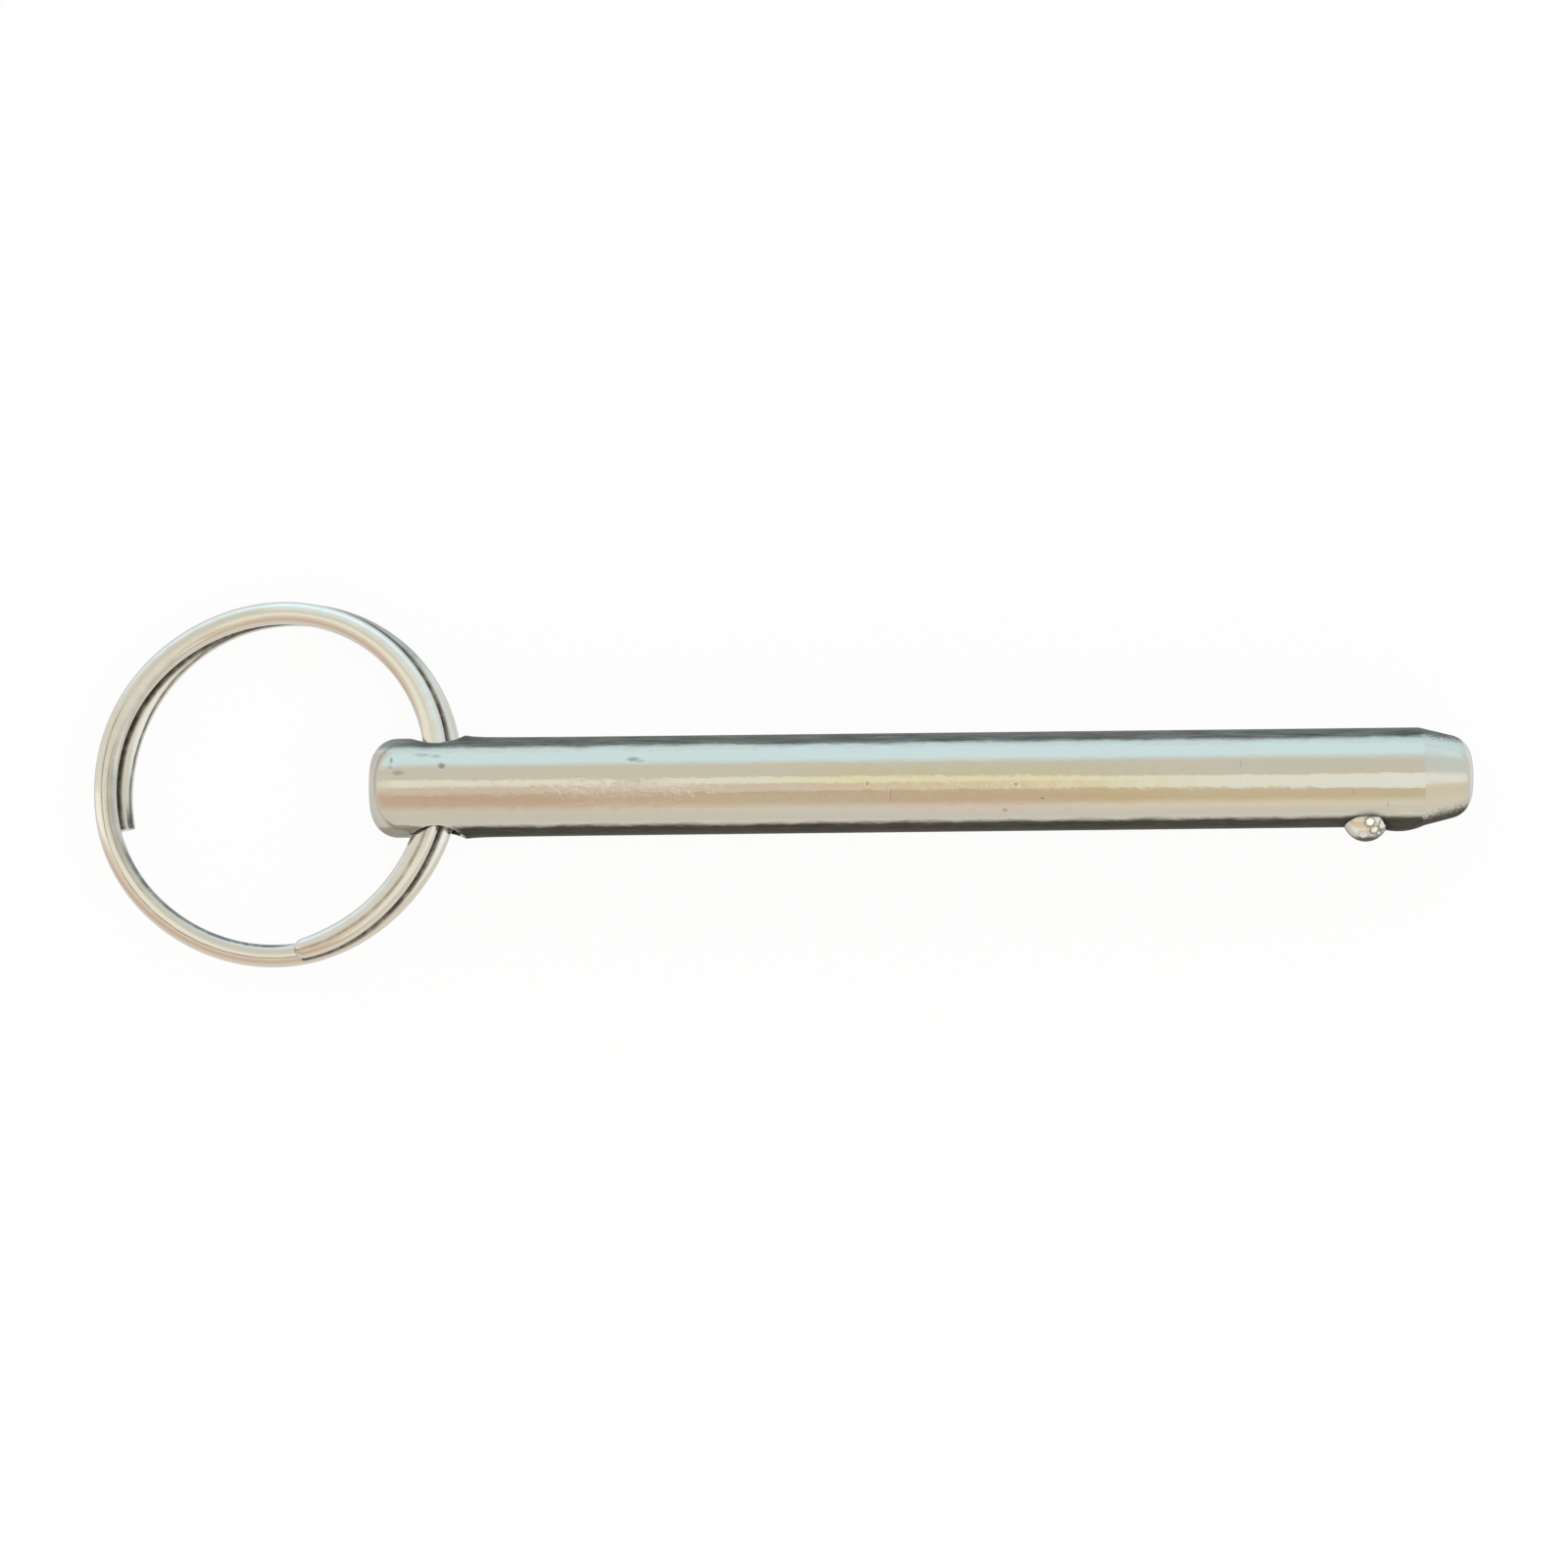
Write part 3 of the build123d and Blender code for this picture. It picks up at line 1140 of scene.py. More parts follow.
    def _burr(self, x: np.ndarray, angle: np.ndarray) -> np.ndarray:
        """How far the metal is raised on the nose side of each ring hole mouth.

        Args:
            x: Places along the pin.
            angle: Places around it, from +Y towards +Z.

        Returns:
            The added height.
        """
        total = np.zeros_like(x)
        edge = self.hole_x + self.hole_radius
        roll = math.radians(self.hole_roll)
        for mouth, share in zip((-roll, math.pi - roll), self.burr_shares):
            away = np.abs((angle - mouth + math.pi) % (2 * math.pi) - math.pi)
            width = np.exp(-((away / math.radians(self.burr_half_angle)) ** 2))
            ahead = np.maximum(x - edge, 0.0)
            near = self.burr_height * np.exp(-((ahead / self.burr_reach) ** 2))
            tail = self.burr_tail * np.exp(-ahead / self.burr_tail_reach)
            behind = np.exp(-((np.minimum(x - edge, 0.0) / self.burr_behind) ** 2))
            total += share * width * (near + tail) * behind
        return total

    def _bar(self) -> Mesh:
        """The bar before its holes are cut.

        Returns:
            A closed mesh in millimetres.
        """
        outline = self._outline()
        inner = outline[1:-1]
        angles = 2 * math.pi * np.arange(self.around) / self.around
        x, angle = np.meshgrid(inner[:, 0], angles, indexing="ij")
        bare = np.repeat(inner[:, 1:2], self.around, axis=1)
        raised = np.maximum(bare, self._stake(x, angle)) + self._burr(x, angle)
        full = bare > self.radius - 0.01
        radius = np.where(full | (x > self.ball_x), raised, bare)
        verts = np.stack([x, radius * np.cos(angle), radius * np.sin(angle)], axis=-1)
        verts = verts.reshape(-1, 3)
        count = len(inner)
        faces = []
        for base in range(0, (count - 1) * self.around, self.around):
            above = base + self.around
            for column in range(self.around):
                after = (column + 1) % self.around
                faces.append((base + column, base + after, above + after, above + column))
        first, last = len(verts), len(verts) + 1
        ends = np.array([(outline[0, 0], 0.0, 0.0), (outline[-1, 0], 0.0, 0.0)])
        base = (count - 1) * self.around
        for column in range(self.around):
            after = (column + 1) % self.around
            faces.append((first, after, column))
            faces.append((last, base + column, base + after))
        mesh = bpy.data.meshes.new("bar")
        mesh.from_pydata(np.concatenate([verts, ends]).tolist(), [], faces)
        shell = bmesh.new()
        shell.from_mesh(mesh)
        bmesh.ops.recalc_face_normals(shell, faces=shell.faces)
        shell.to_mesh(mesh)
        shell.free()
        return mesh

    def _ring_hole(self) -> Mesh:
        """The cutter for the ring hole, with a countersink at each mouth."""
        reach = 2 * self.radius
        mouth = self.hole_radius + self.hole_chamfer
        inner = self.radius - self.hole_chamfer
        half = [(self.hole_radius, inner), (mouth, self.radius), (mouth, reach)]
        lower = [(radius, -height) for radius, height in reversed(half)]
        mesh = spun([(0.0, -reach), *lower, *half, (0.0, reach)], 128)
        turn = Matrix.Rotation(math.radians(90 - self.hole_roll), 4, "X")
        mesh.transform(Matrix.Translation((self.hole_x, 0, 0)) @ turn)
        return mesh

    def pocket_frame(self) -> Matrix:
        """On the pin's axis under the ball, with z out of the pocket's mouth."""
        turn = Matrix.Rotation(math.radians(90 - self.ball_roll), 4, "X")
        return Matrix.Translation((self.ball_x, 0, 0)) @ turn

    def _ball_pocket(self) -> Mesh:
        """The cutter for the ball's blind pocket, which closes in over the ball."""
        point = self.pocket_radius / math.tan(math.radians(self.drill_angle / 2))
        outline = [(0.0, self.pocket_floor - point), (self.pocket_radius, self.pocket_floor)]
        for angle in np.linspace(0, math.asin(self.lip_height / self.pocket_radius), 9):
            across = self.pocket_radius * math.cos(angle)
            outline.append((across, self.ball_height + self.pocket_radius * math.sin(angle)))
        outline += [(outline[-1][0], 2 * self.radius), (0.0, 2 * self.radius)]
        mesh = spun(outline, 128)
        mesh.transform(self.pocket_frame())
        return mesh

    def _shade_and_dirt(self, mesh: Mesh) -> None:
        """Store where the bar is made darker, by the ring hole's raised mouths and round the ball
        pocket's mouth, and the painted light on its ends and in its ring hole.

        Args:
            mesh: The shank's mesh, in millimetres.
        """
        count = len(mesh.vertices)
        spots = np.empty(count * 3)
        mesh.vertices.foreach_get("co", spots)
        spots = spots.reshape(-1, 3)
        x, y, z = spots.T
        # Darker on the raised metal by the ring hole's mouths and round the ball pocket's mouth at
        # -Y.
        ball_turn = math.radians(90 - self.ball_roll)
        away = np.hypot(x - self.ball_x, y * math.cos(ball_turn) + z * math.sin(ball_turn))
        past = np.maximum(away - self.pocket_radius, 0.0)
        near = np.exp(-((past / self.pocket_darkening_reach) ** 2)) * (y < 0)
        raised = self._burr(x, np.arctan2(z, y))
        shade_and_dirt = self.burr_darkening * share_of(raised, *self.burr_darkening_heights)
        shade_and_dirt = np.maximum(shade_and_dirt, near * self.pocket_darkening)
        # Painted light: the ring hole and the bar's ends are made brighter.
        hole_turn = math.radians(90 - self.hole_roll)
        away = np.hypot(x - self.hole_x, y * math.cos(hole_turn) + z * math.sin(hole_turn))
        hole = self.hole_light * (away < self.hole_radius + self.hole_light_rim)
        lean_from, lean = self.tip_lean
        tip = share_of(x + lean * np.maximum(y - lean_from, 0.0) - self.tip_x, *self.tip_reach)
        face_from, face_to, least = self.face_light
        face = np.maximum(share_of(np.hypot(y, z), face_from, face_to), least)
        head = self.head_light * share_of(self.head_x - x, -self.head_reach[1], -self.head_reach[0])
        painted_light = np.maximum(np.maximum(self.tip_light * face * tip, head), hole)
        store(mesh, "shade_and_dirt", shade_and_dirt)
        store(mesh, "painted_light", painted_light)

    def build(self, finish: SteelFinish) -> Object:
        """Make the shank and put it in the place of its CAD node.

        Args:
            finish: The shank's finish.

        Returns:
            The shank.
        """
        blank = link_mesh("blank", self._bar())
        cutters = [link_mesh("cutter", mesh) for mesh in (self._ring_hole(), self._ball_pocket())]
        for cutter in cutters:
            cut = blank.modifiers.new("cut", "BOOLEAN")
            cut.operation = "DIFFERENCE"
            cut.solver = "EXACT"
            cut.object = cutter
        mesh = settle(blank)
        for cutter in cutters:
            bpy.data.objects.remove(cutter)
        self._shade_and_dirt(mesh)
        mesh.transform(Matrix.Scale(MM, 4))
        mesh.materials.clear()
        mesh.materials.append(finish.material())
        smooth(mesh, 22.0)
        shank = link_mesh("shank_bar", mesh)
        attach(shank, Body.PIN.value)
        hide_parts("pin_shank")
        return shank


class PathTree:
    """A geometry node tree that sweeps a wire's section along a path made from named sizes."""

    def __init__(self, name: str, sizes: dict[str, float], points: int) -> None:
        """Start the tree with its inputs and the path's bare points.

        Args:
            name: The tree's name.
            sizes: Input name to its value.
            points: Points along the path.
        """
        self.tree = bpy.data.node_groups.new(name, "GeometryNodeTree")
        self.sizes = sizes
        kinds = {**dict.fromkeys(sizes, "Float"), "Points": "Int", "Material": "Material"}
        for label, kind in kinds.items():
            self.tree.interface.new_socket(
                name=label, in_out="INPUT", socket_type=f"NodeSocket{kind}"
            )
        self.tree.interface.new_socket(
            name="Geometry", in_out="OUTPUT", socket_type="NodeSocketGeometry"
        )
        self.points = points
        self.desk = NodeDesk(self.tree)
        self.given = self.tree.nodes.new("NodeGroupInput").outputs
        line = self.desk.out("GeometryNodeCurvePrimitiveLine")
        self.path = self.desk.out(
            "GeometryNodeResampleCurve", {"Curve": line, "Count": self.given["Points"]}
        )
        self.share = self.desk.put("GeometryNodeSplineParameter").outputs["Factor"]

    def place(self, x: object, y: object, z: object) -> None:
        """Move the path's points.

        Args:
            x: The x coordinate's socket or value.
            y: The y coordinate's socket or value.
            z: The z coordinate's socket or value.
        """
        spot = self.desk.out("ShaderNodeCombineXYZ", {0: x, 1: y, 2: z})
        self.path = self.desk.out(
            "GeometryNodeSetPosition", {"Geometry": self.path, "Position": spot}
        )

    def remember(self, curve: Socket, name: str, value: object) -> Socket:
        """Store a number on a curve's points, for the material to read.

        Args:
            curve: The curve's socket.
            name: The number's name.
            value: The number's socket.

        Returns:
            The curve with the number on it.
        """
        inputs = {"Geometry": curve, "Name": name, "Value": value}
        return self.desk.out("GeometryNodeStoreNamedAttribute", inputs, data_type="FLOAT")

    def sweep(self, section: Socket, size: object = 1.0) -> None:
        """Sweep a section along the path, with its x axis level, and finish the tree.

        Args:
            section: The section's curve.
            size: The section's size along the path, against its full size.
        """
        out = self.desk.out
        level = out("GeometryNodeSetCurveNormal", {"Curve": self.path}, mode="Z_UP")
        inputs = {"Curve": level, "Profile Curve": section, "Scale": size, "Fill Caps": True}
        tube = out("GeometryNodeCurveToMesh", inputs)
        plain = out("GeometryNodeRealizeInstances", {"Geometry": tube})
        inputs = {"Geometry": plain, "Material": self.given["Material"]}
        dressed = out("GeometryNodeSetMaterial", inputs)
        leave = self.tree.nodes.new("NodeGroupOutput")
        self.tree.links.new(dressed, leave.inputs[0])

    def mesh(self, material: bpy.types.Material) -> Mesh:
        """Run the tree and return the plain mesh.

        Args:
            material: The wire's material.

        Returns:
            The swept wire's mesh, in the units of the sizes.
        """
        holder = link_mesh("holder", bpy.data.meshes.new("holder"))
        run = holder.modifiers.new("wire", "NODES")
        run.node_group = self.tree
        values = {**self.sizes, "Points": self.points, "Material": material}
        for item in self.tree.interface.items_tree:
            if item.in_out == "INPUT":
                run[item.identifier] = values[item.name]
        return settle(holder)


@dataclass
class SplitRing:
    """The ring of flattened wire that passes through the shank's ring hole."""

    wire_width: float = 2.2
    wire_height: float = 1.35
    section_power: float = 2.2
    mean_radius: float = 16.1
    ovality: float = 0.64
    long_axis: float = 59.0
    turns: float = 1.7675
    upper_end: float = 278.0
    coil_gap: float = 0.06
    slip: float = 1.25
    slip_angle: float = -10.0
    side_shift: float = 0.64
    centre_x: float = -15.249
    droop: float = 2.86
    end_round: float = 0.8
    swells: tuple[Point, ...] = ((22.0, 45.0, 0.28), (234.0, 37.0, 0.5), (570.0, 52.0, 0.58))
    end_cut: float = 0.92
    end_taper: float = 5.0
    taper_share: float = 0.18
    path_points: int = 1300
    section_points: int = 72
    gap_shade_reach: float = 0.75
    gap_shade_full: float = 0.5
    gap_shade_amount: float = 0.97
    hole_x: float = -44.45
    hole_roll: float = 8.5

    def _tree(self) -> PathTree:
        """The tree that winds the ring.

        Returns:
            The tree, ready to run.
        """
        full = 2 * math.pi
        sizes = {
            "Width": self.wire_width,
            "Height": self.wire_height,
            "Section Power": self.section_power,
            "Mean Radius": self.mean_radius,
            "Ovality": self.ovality,
            "Long Axis": math.radians(self.long_axis),
            "Turned": full * self.turns,
            "Upper End": math.radians(self.upper_end),
            "Pitch": self.wire_height + self.coil_gap,
            "Slip": self.slip,
            "Slip Angle": math.radians(self.slip_angle),
            "Centre X": self.centre_x,
            "Centre Y": self.side_shift,
            "End Round": self.end_round,
        }
        path = PathTree("Wound ring", sizes, self.path_points)
        desk, given = path.desk, path.given
        math_ = desk.math
        turned = desk.mul(path.share, given["Turned"])
        crossing = desk.sub(given["Turned"], full)
        level = desk.sub(desk.step(turned, crossing, full), 0.5)
        angle = desk.add(given["Upper End"], turned)
        twice = desk.mul(desk.sub(angle, given["Long Axis"]), 2.0)
        bulge = desk.mul(math_("COSINE", twice), given["Ovality"])
        radius = desk.add(given["Mean Radius"], bulge)
        for middle, reach, rise in self.swells:
            away = math_("DIVIDE", desk.sub(turned, math.radians(middle)), math.radians(reach))
            fade = math_("EXPONENT", desk.mul(desk.mul(away, away), -1.0))
            radius = desk.add(radius, desk.mul(fade, rise))
        slipped = desk.mul(level, given["Slip"])
        places = []
        for wave, centre in (("COSINE", "Centre X"), ("SINE", "Centre Y")):
            out = desk.mul(math_(wave, angle), radius)
            aside = desk.mul(math_(wave, given["Slip Angle"]), slipped)
            places.append(desk.add(desk.add(out, aside), given[centre]))
        places.append(desk.mul(level, desk.mul(given["Pitch"], -1.0)))
        path.place(*places)
        arc = desk.mul(turned, given["Mean Radius"])
        short = desk.sub(1.0, math_("DIVIDE", arc, given["End Round"], clamp=True))
        size = math_("SQRT", desk.sub(1.0, desk.mul(short, short, self.end_cut)))
        near = desk.sub(1.0, math_("DIVIDE", arc, self.end_taper, clamp=True))
        slim = desk.sub(1.0, desk.mul(near, near, self.taper_share))
        size = desk.mul(size, slim)
        path.path = path.remember(path.path, "run", arc)
        round_ = {"Resolution": self.section_points, "Radius": 1.0}
        circle = desk.out("GeometryNodeCurvePrimitiveCircle", round_)
        where = desk.put("ShaderNodeSeparateXYZ", {0: desk.out("GeometryNodeInputPosition")})
        power = math_("DIVIDE", 2.0, given["Section Power"])
        sides = []
        for axis, size_name in (("X", "Width"), ("Y", "Height")):
            spot = where.outputs[axis]
            grown = math_("POWER", math_("ABSOLUTE", spot), power)
            signed = desk.mul(grown, math_("SIGN", spot))
            sides.append(desk.mul(signed, desk.mul(given[size_name], 0.5)))
        spot = desk.out("ShaderNodeCombineXYZ", {0: sides[0], 1: sides[1]})
        section = desk.out("GeometryNodeSetPosition", {"Geometry": circle, "Position": spot})
        path.sweep(path.remember(section, "across", sides[0]), size)
        return path

    def _shade_and_dirt(self, mesh: Mesh) -> None:
        """Store the painted shade, with some dirt, in the gap between the two coils.

        Args:
            mesh: The ring's mesh, in millimetres.
        """
        count = len(mesh.vertices)
        run = np.empty(count)
        mesh.attributes["run"].data.foreach_get("value", run)
        turn = 2 * math.pi * self.mean_radius
        spots = [vert.co for vert in mesh.vertices]
        doubled = (np.flatnonzero(run < (self.turns - 1) * turn), np.flatnonzero(run > turn))
        shade_and_dirt = np.zeros(count)
        for coil, other in (doubled, doubled[::-1]):
            tree = KDTree(len(other))
            for index in other:
                tree.insert(spots[index], int(index))
            tree.balance()
            away = np.array([tree.find(spots[index])[2] for index in coil])
            shade_and_dirt[coil] = self.gap_shade_amount * share_of(-away, -self.gap_shade_reach, -self.gap_shade_full)
        store(mesh, "shade_and_dirt", shade_and_dirt)

    def build(self, finish: SteelFinish) -> Object:
        """Wind the ring and put it in the place of its CAD node.

        Args:
            finish: The wire's finish.

        Returns:
            The ring.
        """
        mesh = self._tree().mesh(finish.material())
        self._shade_and_dirt(mesh)
        droop = Matrix.Rotation(math.radians(-self.droop), 4, "Y")
        roll = Matrix.Rotation(math.radians(-self.hole_roll), 4, "X")
        place = Matrix.Translation((self.hole_x, 0, 0)) @ roll @ droop
        mesh.transform(Matrix.Scale(MM, 4) @ place)
        smooth(mesh, 50.0)
        ring = link_mesh("wound_ring", mesh)
        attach(ring, Body.RING.value)
        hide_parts("split_ring")
        return ring


@dataclass
class Detent:
    """The ball and the spring under it, in the shank's pocket."""

    pocket: Matrix
    ball_diameter: float = 4.366
    ball_height: float = 4.0695
    travel: float = 1.49
    spring_wire: float = 0.45
    spring_radius: float = 1.728
    spring_turns: float = 6.0
    spring_end_turns: float = 1.0
    spring_end_gap: float = 0.03
    spring_bottom: float = -2.5337
    spring_top: float = 2.4663
    spring_points: int = 361
    section_points: int = 20
    facets: tuple[Facet, ...] = (
        Facet((0.07, -0.13, 0.99), 0.21, 0.8),
        Facet((0.29, -0.49, 0.83), 0.19, 0.9),
        Facet((0.68, -0.24, 0.70), 0.25, 0.8),
        Facet((-0.42, -0.36, 0.83), 0.40, 0.15),
        Facet((-0.20, -0.70, 0.68), 0.22, 0.3),
        Facet((0.50, -0.62, 0.60), 0.14, 0.8),
    )
    facet_depth: float = 0.03
    facet_edge: float = 0.04
    facet_light: tuple[float, float] = (0.45, 0.5)
    rim_width: float = 0.045
    wobble: float = 0.03
    wobble_waves: tuple[Point, Point] = ((9.0, 23.0, 5.0), (17.0, 4.0, 11.0))
    mouth: tuple[float, float] = (0.03, 0.11)
    mouth_shade: float = 0.9

    def ball(self, finish: SteelFinish) -> Object:
        """Make the ball with its small worn flats, painted brighter inside as highlights.

        Args:
            finish: The ball's finish.

        Returns:
            The ball.
        """
        shell = bmesh.new()
        bmesh.ops.create_icosphere(shell, subdivisions=6, radius=1.0)
        directions = np.array([vert.co for vert in shell.verts])
        first, second = (np.sin(directions @ np.array(wave)) for wave in self.wobble_waves)
        wobble = self.wobble * first * second
        depth, painted_light = np.zeros(len(directions)), np.zeros(len(directions))
        # Painted shade on the side of the ball that lies in the pocket.
        shade_and_dirt = self.mouth_shade * share_of(directions[:, 1], *self.mouth)
        for facet in self.facets:
            aim = np.array(facet.aim) / np.linalg.norm(facet.aim)
            angle = np.arccos(np.clip(directions @ aim, -1.0, 1.0)) + wobble
            sunk = self.facet_depth * facet.rim * np.clip(1 - (angle / facet.reach) ** 2, 0.0, 1.0)
            depth = np.maximum(depth, sunk)
            # Painted highlight inside each flat.
            bright = self.facet_light[0] + self.facet_light[1] * facet.rim
            inside = share_of(facet.reach - angle, 0.0, self.facet_edge)
            painted_light = np.maximum(painted_light, bright * inside)
            # Painted dark line round each flat.
            rim = np.exp(-(((angle - facet.reach) / self.rim_width) ** 2))
            shade_and_dirt = np.maximum(shade_and_dirt, facet.rim * rim)
        radius = self.ball_diameter / 2
        for vert, inward in zip(shell.verts, depth):
            vert.co *= radius - inward
        mesh = bpy.data.meshes.new("ball")
        shell.to_mesh(mesh)
        shell.free()
        store(mesh, "shade_and_dirt", shade_and_dirt)
        store(mesh, "painted_light", painted_light)
        centre = self.pocket @ Vector((0, 0, self.ball_height))
        mesh.transform(Matrix.Scale(MM, 4) @ Matrix.Translation(centre))
        mesh.materials.append(finish.material())
        smooth(mesh, 60.0)
        ball = link_mesh("detent_sphere", mesh)
        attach(ball, Body.BALL.value)
        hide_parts("detent_ball")
        return ball

    def _spring_tree(self) -> PathTree:
        """The tree that coils the spring.

        Returns:
            The tree, ready to run.
        """
        end_rise = self.spring_end_turns * (self.spring_wire + self.spring_end_gap)
        sizes = {
            "Wire": self.spring_wire,
            "Radius": self.spring_radius,
            "Turns": self.spring_turns,
            "End Turns": self.spring_end_turns,
            "Bottom": self.spring_bottom,
            "End Rise": end_rise,
            "Open Rise": self.spring_top - self.spring_bottom - 2 * end_rise,
        }
        path = PathTree("Coiled spring", sizes, self.spring_points)
        desk, given = path.desk, path.given
        math_ = desk.math
        turn = desk.mul(path.share, given["Turns"])
        last = desk.sub(given["Turns"], given["End Turns"])
        height = given["Bottom"]
        for low, high, rise in (
            (0.0, given["End Turns"], "End Rise"),
            (given["End Turns"], last, "Open Rise"),
            (last, given["Turns"], "End Rise"),
        ):
            spread = {0: turn, 1: low, 2: high, 3: 0.0, 4: given[rise]}
            height = desk.add(height, desk.out("ShaderNodeMapRange", spread))
        angle = desk.mul(turn, 2 * math.pi)
        x = desk.mul(math_("COSINE", angle), given["Radius"])
        y = desk.mul(math_("SINE", angle), given["Radius"])
        path.place(x, y, height)
        half = desk.mul(given["Wire"], 0.5)
        round_ = {"Resolution": self.section_points, "Radius": half}
        path.sweep(desk.out("GeometryNodeCurvePrimitiveCircle", round_))
        return path

    def spring(self, finish: SteelFinish) -> Object:
        """Coil the spring, grind its ends flat and let the ball press it.

        Args:
            finish: The spring's finish.

        Returns:
            The spring.
        """
        mesh = self._spring_tree().mesh(finish.material())
        for vert in mesh.vertices:
            vert.co.z = min(max(vert.co.z, self.spring_bottom), self.spring_top)
        mesh.transform(Matrix.Scale(MM, 4) @ self.pocket)
        smooth(mesh, 50.0)
        spring = link_mesh("detent_coil", mesh)
        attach(spring, Body.PIN.value)
        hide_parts("detent_spring")
        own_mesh(spring)
        return spring


@dataclass
class Studio:
    """The pale floor, the soft light and the camera straight above.

    Places in the sky are given by the X of the direction, or by its lean: the degrees from straight
    up towards +Y.
    """

    floor_height: float = -4.7625
    floor_half: float = 4000.0
    floor_colour: Colour = (0.93, 0.93, 0.94)
    floor_glow: float = 0.93
    camera_x: float = -11.175
    camera_height: float = 450.0
    frame_width: float = 150.4
    camera_roll: float = -0.635
    brightest: float = 1.5
    sky: tuple[tuple[float, Colour], ...] = (
        (-92.0, (0.93, 0.93, 0.89)),
        (-72.0, (0.95, 0.94, 0.87)),
        (-61.0, (1.00, 0.96, 0.885)),
        (-53.0, (0.99, 0.92, 0.80)),
        (-47.0, (0.93, 0.80, 0.64)),
        (-41.0, (0.88, 0.735, 0.57)),
        (-22.0, (0.86, 0.71, 0.56)),
        (-19.0, (0.74, 0.60, 0.47)),
        (-16.0, (0.90, 0.76, 0.60)),
        (18.0, (0.936, 0.928, 0.829)),
        (46.0, (0.936, 0.928, 0.829)),
        (54.5, (0.98, 1.15, 1.21)),
        (61.0, (1.01, 1.30, 1.44)),
        (92.0, (0.99, 1.30, 1.48)),
    )
    sky_ahead: tuple[tuple[float, Colour], ...] = (
        (-92.0, (0.93, 0.93, 0.89)),
        (-72.0, (0.99, 0.98, 0.91)),
        (-61.0, (1.10, 1.04, 0.94)),
        (-53.0, (1.02, 0.96, 0.83)),
        (-47.0, (0.93, 0.83, 0.65)),
        (-41.0, (0.88, 0.785, 0.58)),
        (-16.0, (0.91, 0.80, 0.61)),
        (18.0, (0.92, 0.92, 0.82)),
        (46.0, (0.92, 0.93, 0.85)),
        (54.5, (0.98, 1.16, 1.24)),
        (61.0, (1.02, 1.31, 1.46)),
        (92.0, (0.99, 1.30, 1.48)),
    )
    ahead_share: Rise = (-0.01, 0.05)
    far_share: Rise = (0.25, 0.45)
    strip_top: Rise = (0.0, 0.10, (17.0, 9.0))
    strip_middle: Rise = (1.0, 3.0)
    strip_bottom: Rise = (0.07, 0.13, (17.0, 25.0))
    strip_far_rise: float = 8.0
    strip_bottom_edge: float = 2.0
    strip_top_edge: float = 1.0
    below_share: Rise = (0.0, 0.09)
    bright_end: Rise = (0.08, 0.13)
    end_sides: Rise = (-6.0, 6.0)
    end_fade: Rise = (48.0, 58.0, (0.7, 0.1))
    under: Rise = (-0.05, 0.0, (1.0, 0.0))
    strip_colour: Colour = (1.22, 1.25, 1.10)
    strip_below: Colour = (1.01, 0.885, 0.765)
    strip_end: Colour = (1.23, 1.30, 1.27)
    end_above: Colour = (0.88, 1.03, 1.06)
    end_below: Colour = (1.05, 1.03, 0.89)
    under_colour: Colour = (0.9, 0.9, 0.9)

    def floor(self) -> Object:
        """Lay the floor under the part.

        Returns:
            The floor.
        """
        half = self.floor_half
        corners = [(-half, -half), (half, -half), (half, half), (-half, half)]
        mesh = bpy.data.meshes.new("floor")
        mesh.from_pydata([(x, y, self.floor_height) for x, y in corners], [], [(0, 1, 2, 3)])
        mesh.transform(Matrix.Scale(MM, 4))
        material = bpy.data.materials.new("floor_paper")
        desk = NodeDesk.cleared(material)
        paper = {
            "Base Color": (*self.floor_colour, 1.0),
            "Roughness": 0.9,
            "Specular IOR Level": 0.0,
        }
        shader = desk.out("ShaderNodeBsdfPrincipled", paper)
        path = desk.put("ShaderNodeLightPath").outputs
        seen = desk.math("MAXIMUM", path["Is Camera Ray"], path["Is Glossy Ray"])
        seen = desk.math("MAXIMUM", seen, path["Is Transmission Ray"])
        white = desk.out("ShaderNodeEmission", {"Color": (1.0, 1.0, 1.0, 1.0), "Strength": 1.0})
        share = desk.mul(seen, self.floor_glow)
        blend = desk.out("ShaderNodeMixShader", {0: share, 1: shader, 2: white})
        desk.put("ShaderNodeOutputMaterial", {"Surface": blend})
        mesh.materials.append(material)
        floor = link_mesh("floor", mesh)
        return floor

    def _bands(self, desk: NodeDesk, span: Socket, sky: tuple) -> Socket:
        """Colour the sky by how far a direction leans from straight up to one side.

        Args:
            desk: The world's desk.
            span: The lean, from 0 at -180 degrees to 1 at 180 degrees.
            sky: Angles and their colours, in rising order.

        Returns:
            The colour's socket.
        """
        ramp = desk.put("ShaderNodeValToRGB", {"Fac": span})
        stops = ramp.color_ramp.elements
        while len(stops) > 1:
            stops.remove(stops[0])
        for index, (angle, colour) in enumerate(sky):
            spot = (angle + 180) / 360
            stop = stops[0] if index == 0 else stops.new(spot)
            stop.position = spot
            stop.color = (*(part / self.brightest for part in colour), 1.0)
        return desk.stretch(ramp.outputs[0], (self.brightest,) * 3)

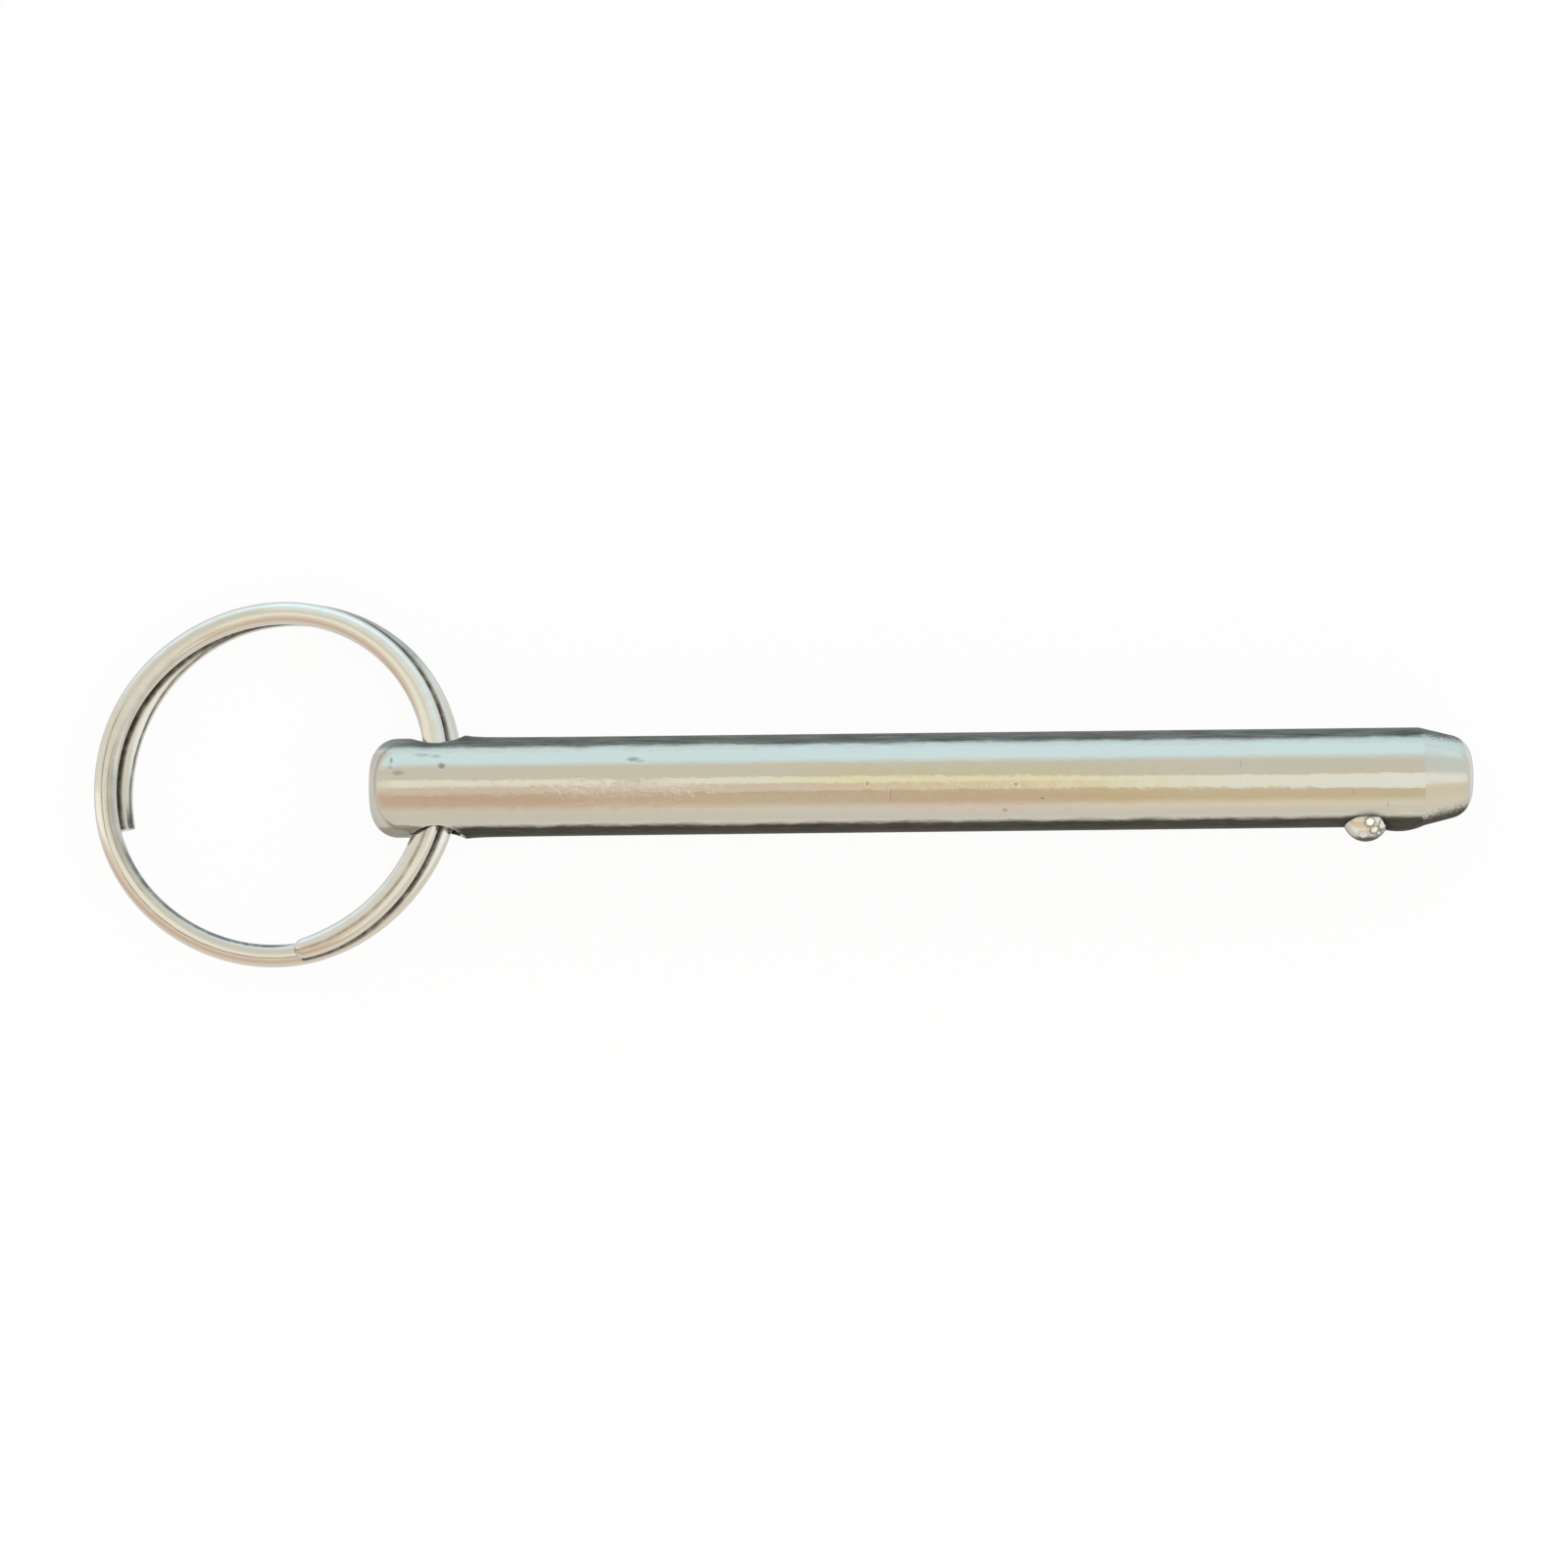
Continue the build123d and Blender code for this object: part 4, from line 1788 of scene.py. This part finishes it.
    def light(self) -> None:
        """Light the part with soft bands of colour round the pin and a bright strip above it."""
        world = bpy.data.worlds.new("studio")
        bpy.context.scene.world = world
        desk = NodeDesk.cleared(world)
        towards = desk.put("ShaderNodeTexCoord").outputs["Generated"]
        split = desk.put("ShaderNodeSeparateXYZ", {0: towards})
        x, y, z = (split.outputs[axis] for axis in "XYZ")
        half = desk.math("ARCTAN2", y, desk.add(z, 1.0))
        lean = desk.mul(half, 360 / math.pi)
        span = desk.math("DIVIDE", desk.add(lean, 180.0), 360.0)
        plain, ahead = (self._bands(desk, span, sky) for sky in (self.sky, self.sky_ahead))
        bands = desk.blend(desk.step(x, *self.ahead_share), plain, ahead)
        top = desk.step(x, *self.strip_top)
        middle = desk.step(x, *self.below_share)
        far = desk.step(x, *self.far_share)
        bottom = desk.sub(desk.mul(far, self.strip_far_rise), desk.step(x, *self.strip_bottom))
        bright = desk.blend(desk.step(x, *self.bright_end), self.strip_colour, self.strip_end)
        strip_tone = desk.blend(middle, self.strip_below, bright)
        below = desk.step(lean, bottom, desk.add(bottom, self.strip_bottom_edge))
        end_tone = desk.blend(desk.step(lean, *self.end_sides), self.end_below, self.end_above)
        end_share = desk.mul(far, desk.step(lean, *self.end_fade))
        bands = desk.blend(end_share, bands, end_tone)
        colour = desk.blend(below, bands, strip_tone)
        above = desk.step(lean, *self.strip_middle)
        colour = desk.blend(above, colour, bright)
        edge = self.strip_top_edge
        over = desk.step(lean, desk.sub(top, edge), desk.add(top, edge))
        colour = desk.blend(over, colour, bands)
        under = desk.step(z, *self.under)
        colour = desk.blend(under, colour, self.under_colour)
        shine = desk.out("ShaderNodeBackground", {"Color": colour, "Strength": 1.0})
        desk.put("ShaderNodeOutputWorld", {"Surface": shine})

    def camera(self) -> None:
        """Hang the camera straight above the part, at the photograph's angle of view."""
        data = bpy.data.cameras.new("camera")
        data.sensor_width = 36.0
        data.lens = data.sensor_width * self.camera_height / self.frame_width
        data.clip_start = 0.01
        data.clip_end = 50.0
        camera = bpy.data.objects.new("camera", data)
        camera.location = (self.camera_x * MM, 0.0, self.camera_height * MM)
        camera.rotation_euler = (0.0, 0.0, math.radians(self.camera_roll))
        bpy.context.scene.collection.objects.link(camera)
        bpy.context.scene.camera = camera
        bpy.context.scene.view_settings.view_transform = "Standard"


def main() -> None:
    logging.basicConfig(level=logging.INFO)
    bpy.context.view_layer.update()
    studio = Studio()
    studio.camera()
    studio.light()
    studio.floor()
    finishes = Finishes()
    shank = Shank()
    detent = Detent(pocket=shank.pocket_frame())
    pieces = [
        shank.build(finishes.shank),
        SplitRing().build(finishes.ring),
        detent.ball(finishes.ball),
        detent.spring(finishes.spring),
    ]
    for piece in pieces:
        LOG.info("%s: %d faces", piece.name, len(piece.data.polygons))


if __name__ == "__main__":
    main()
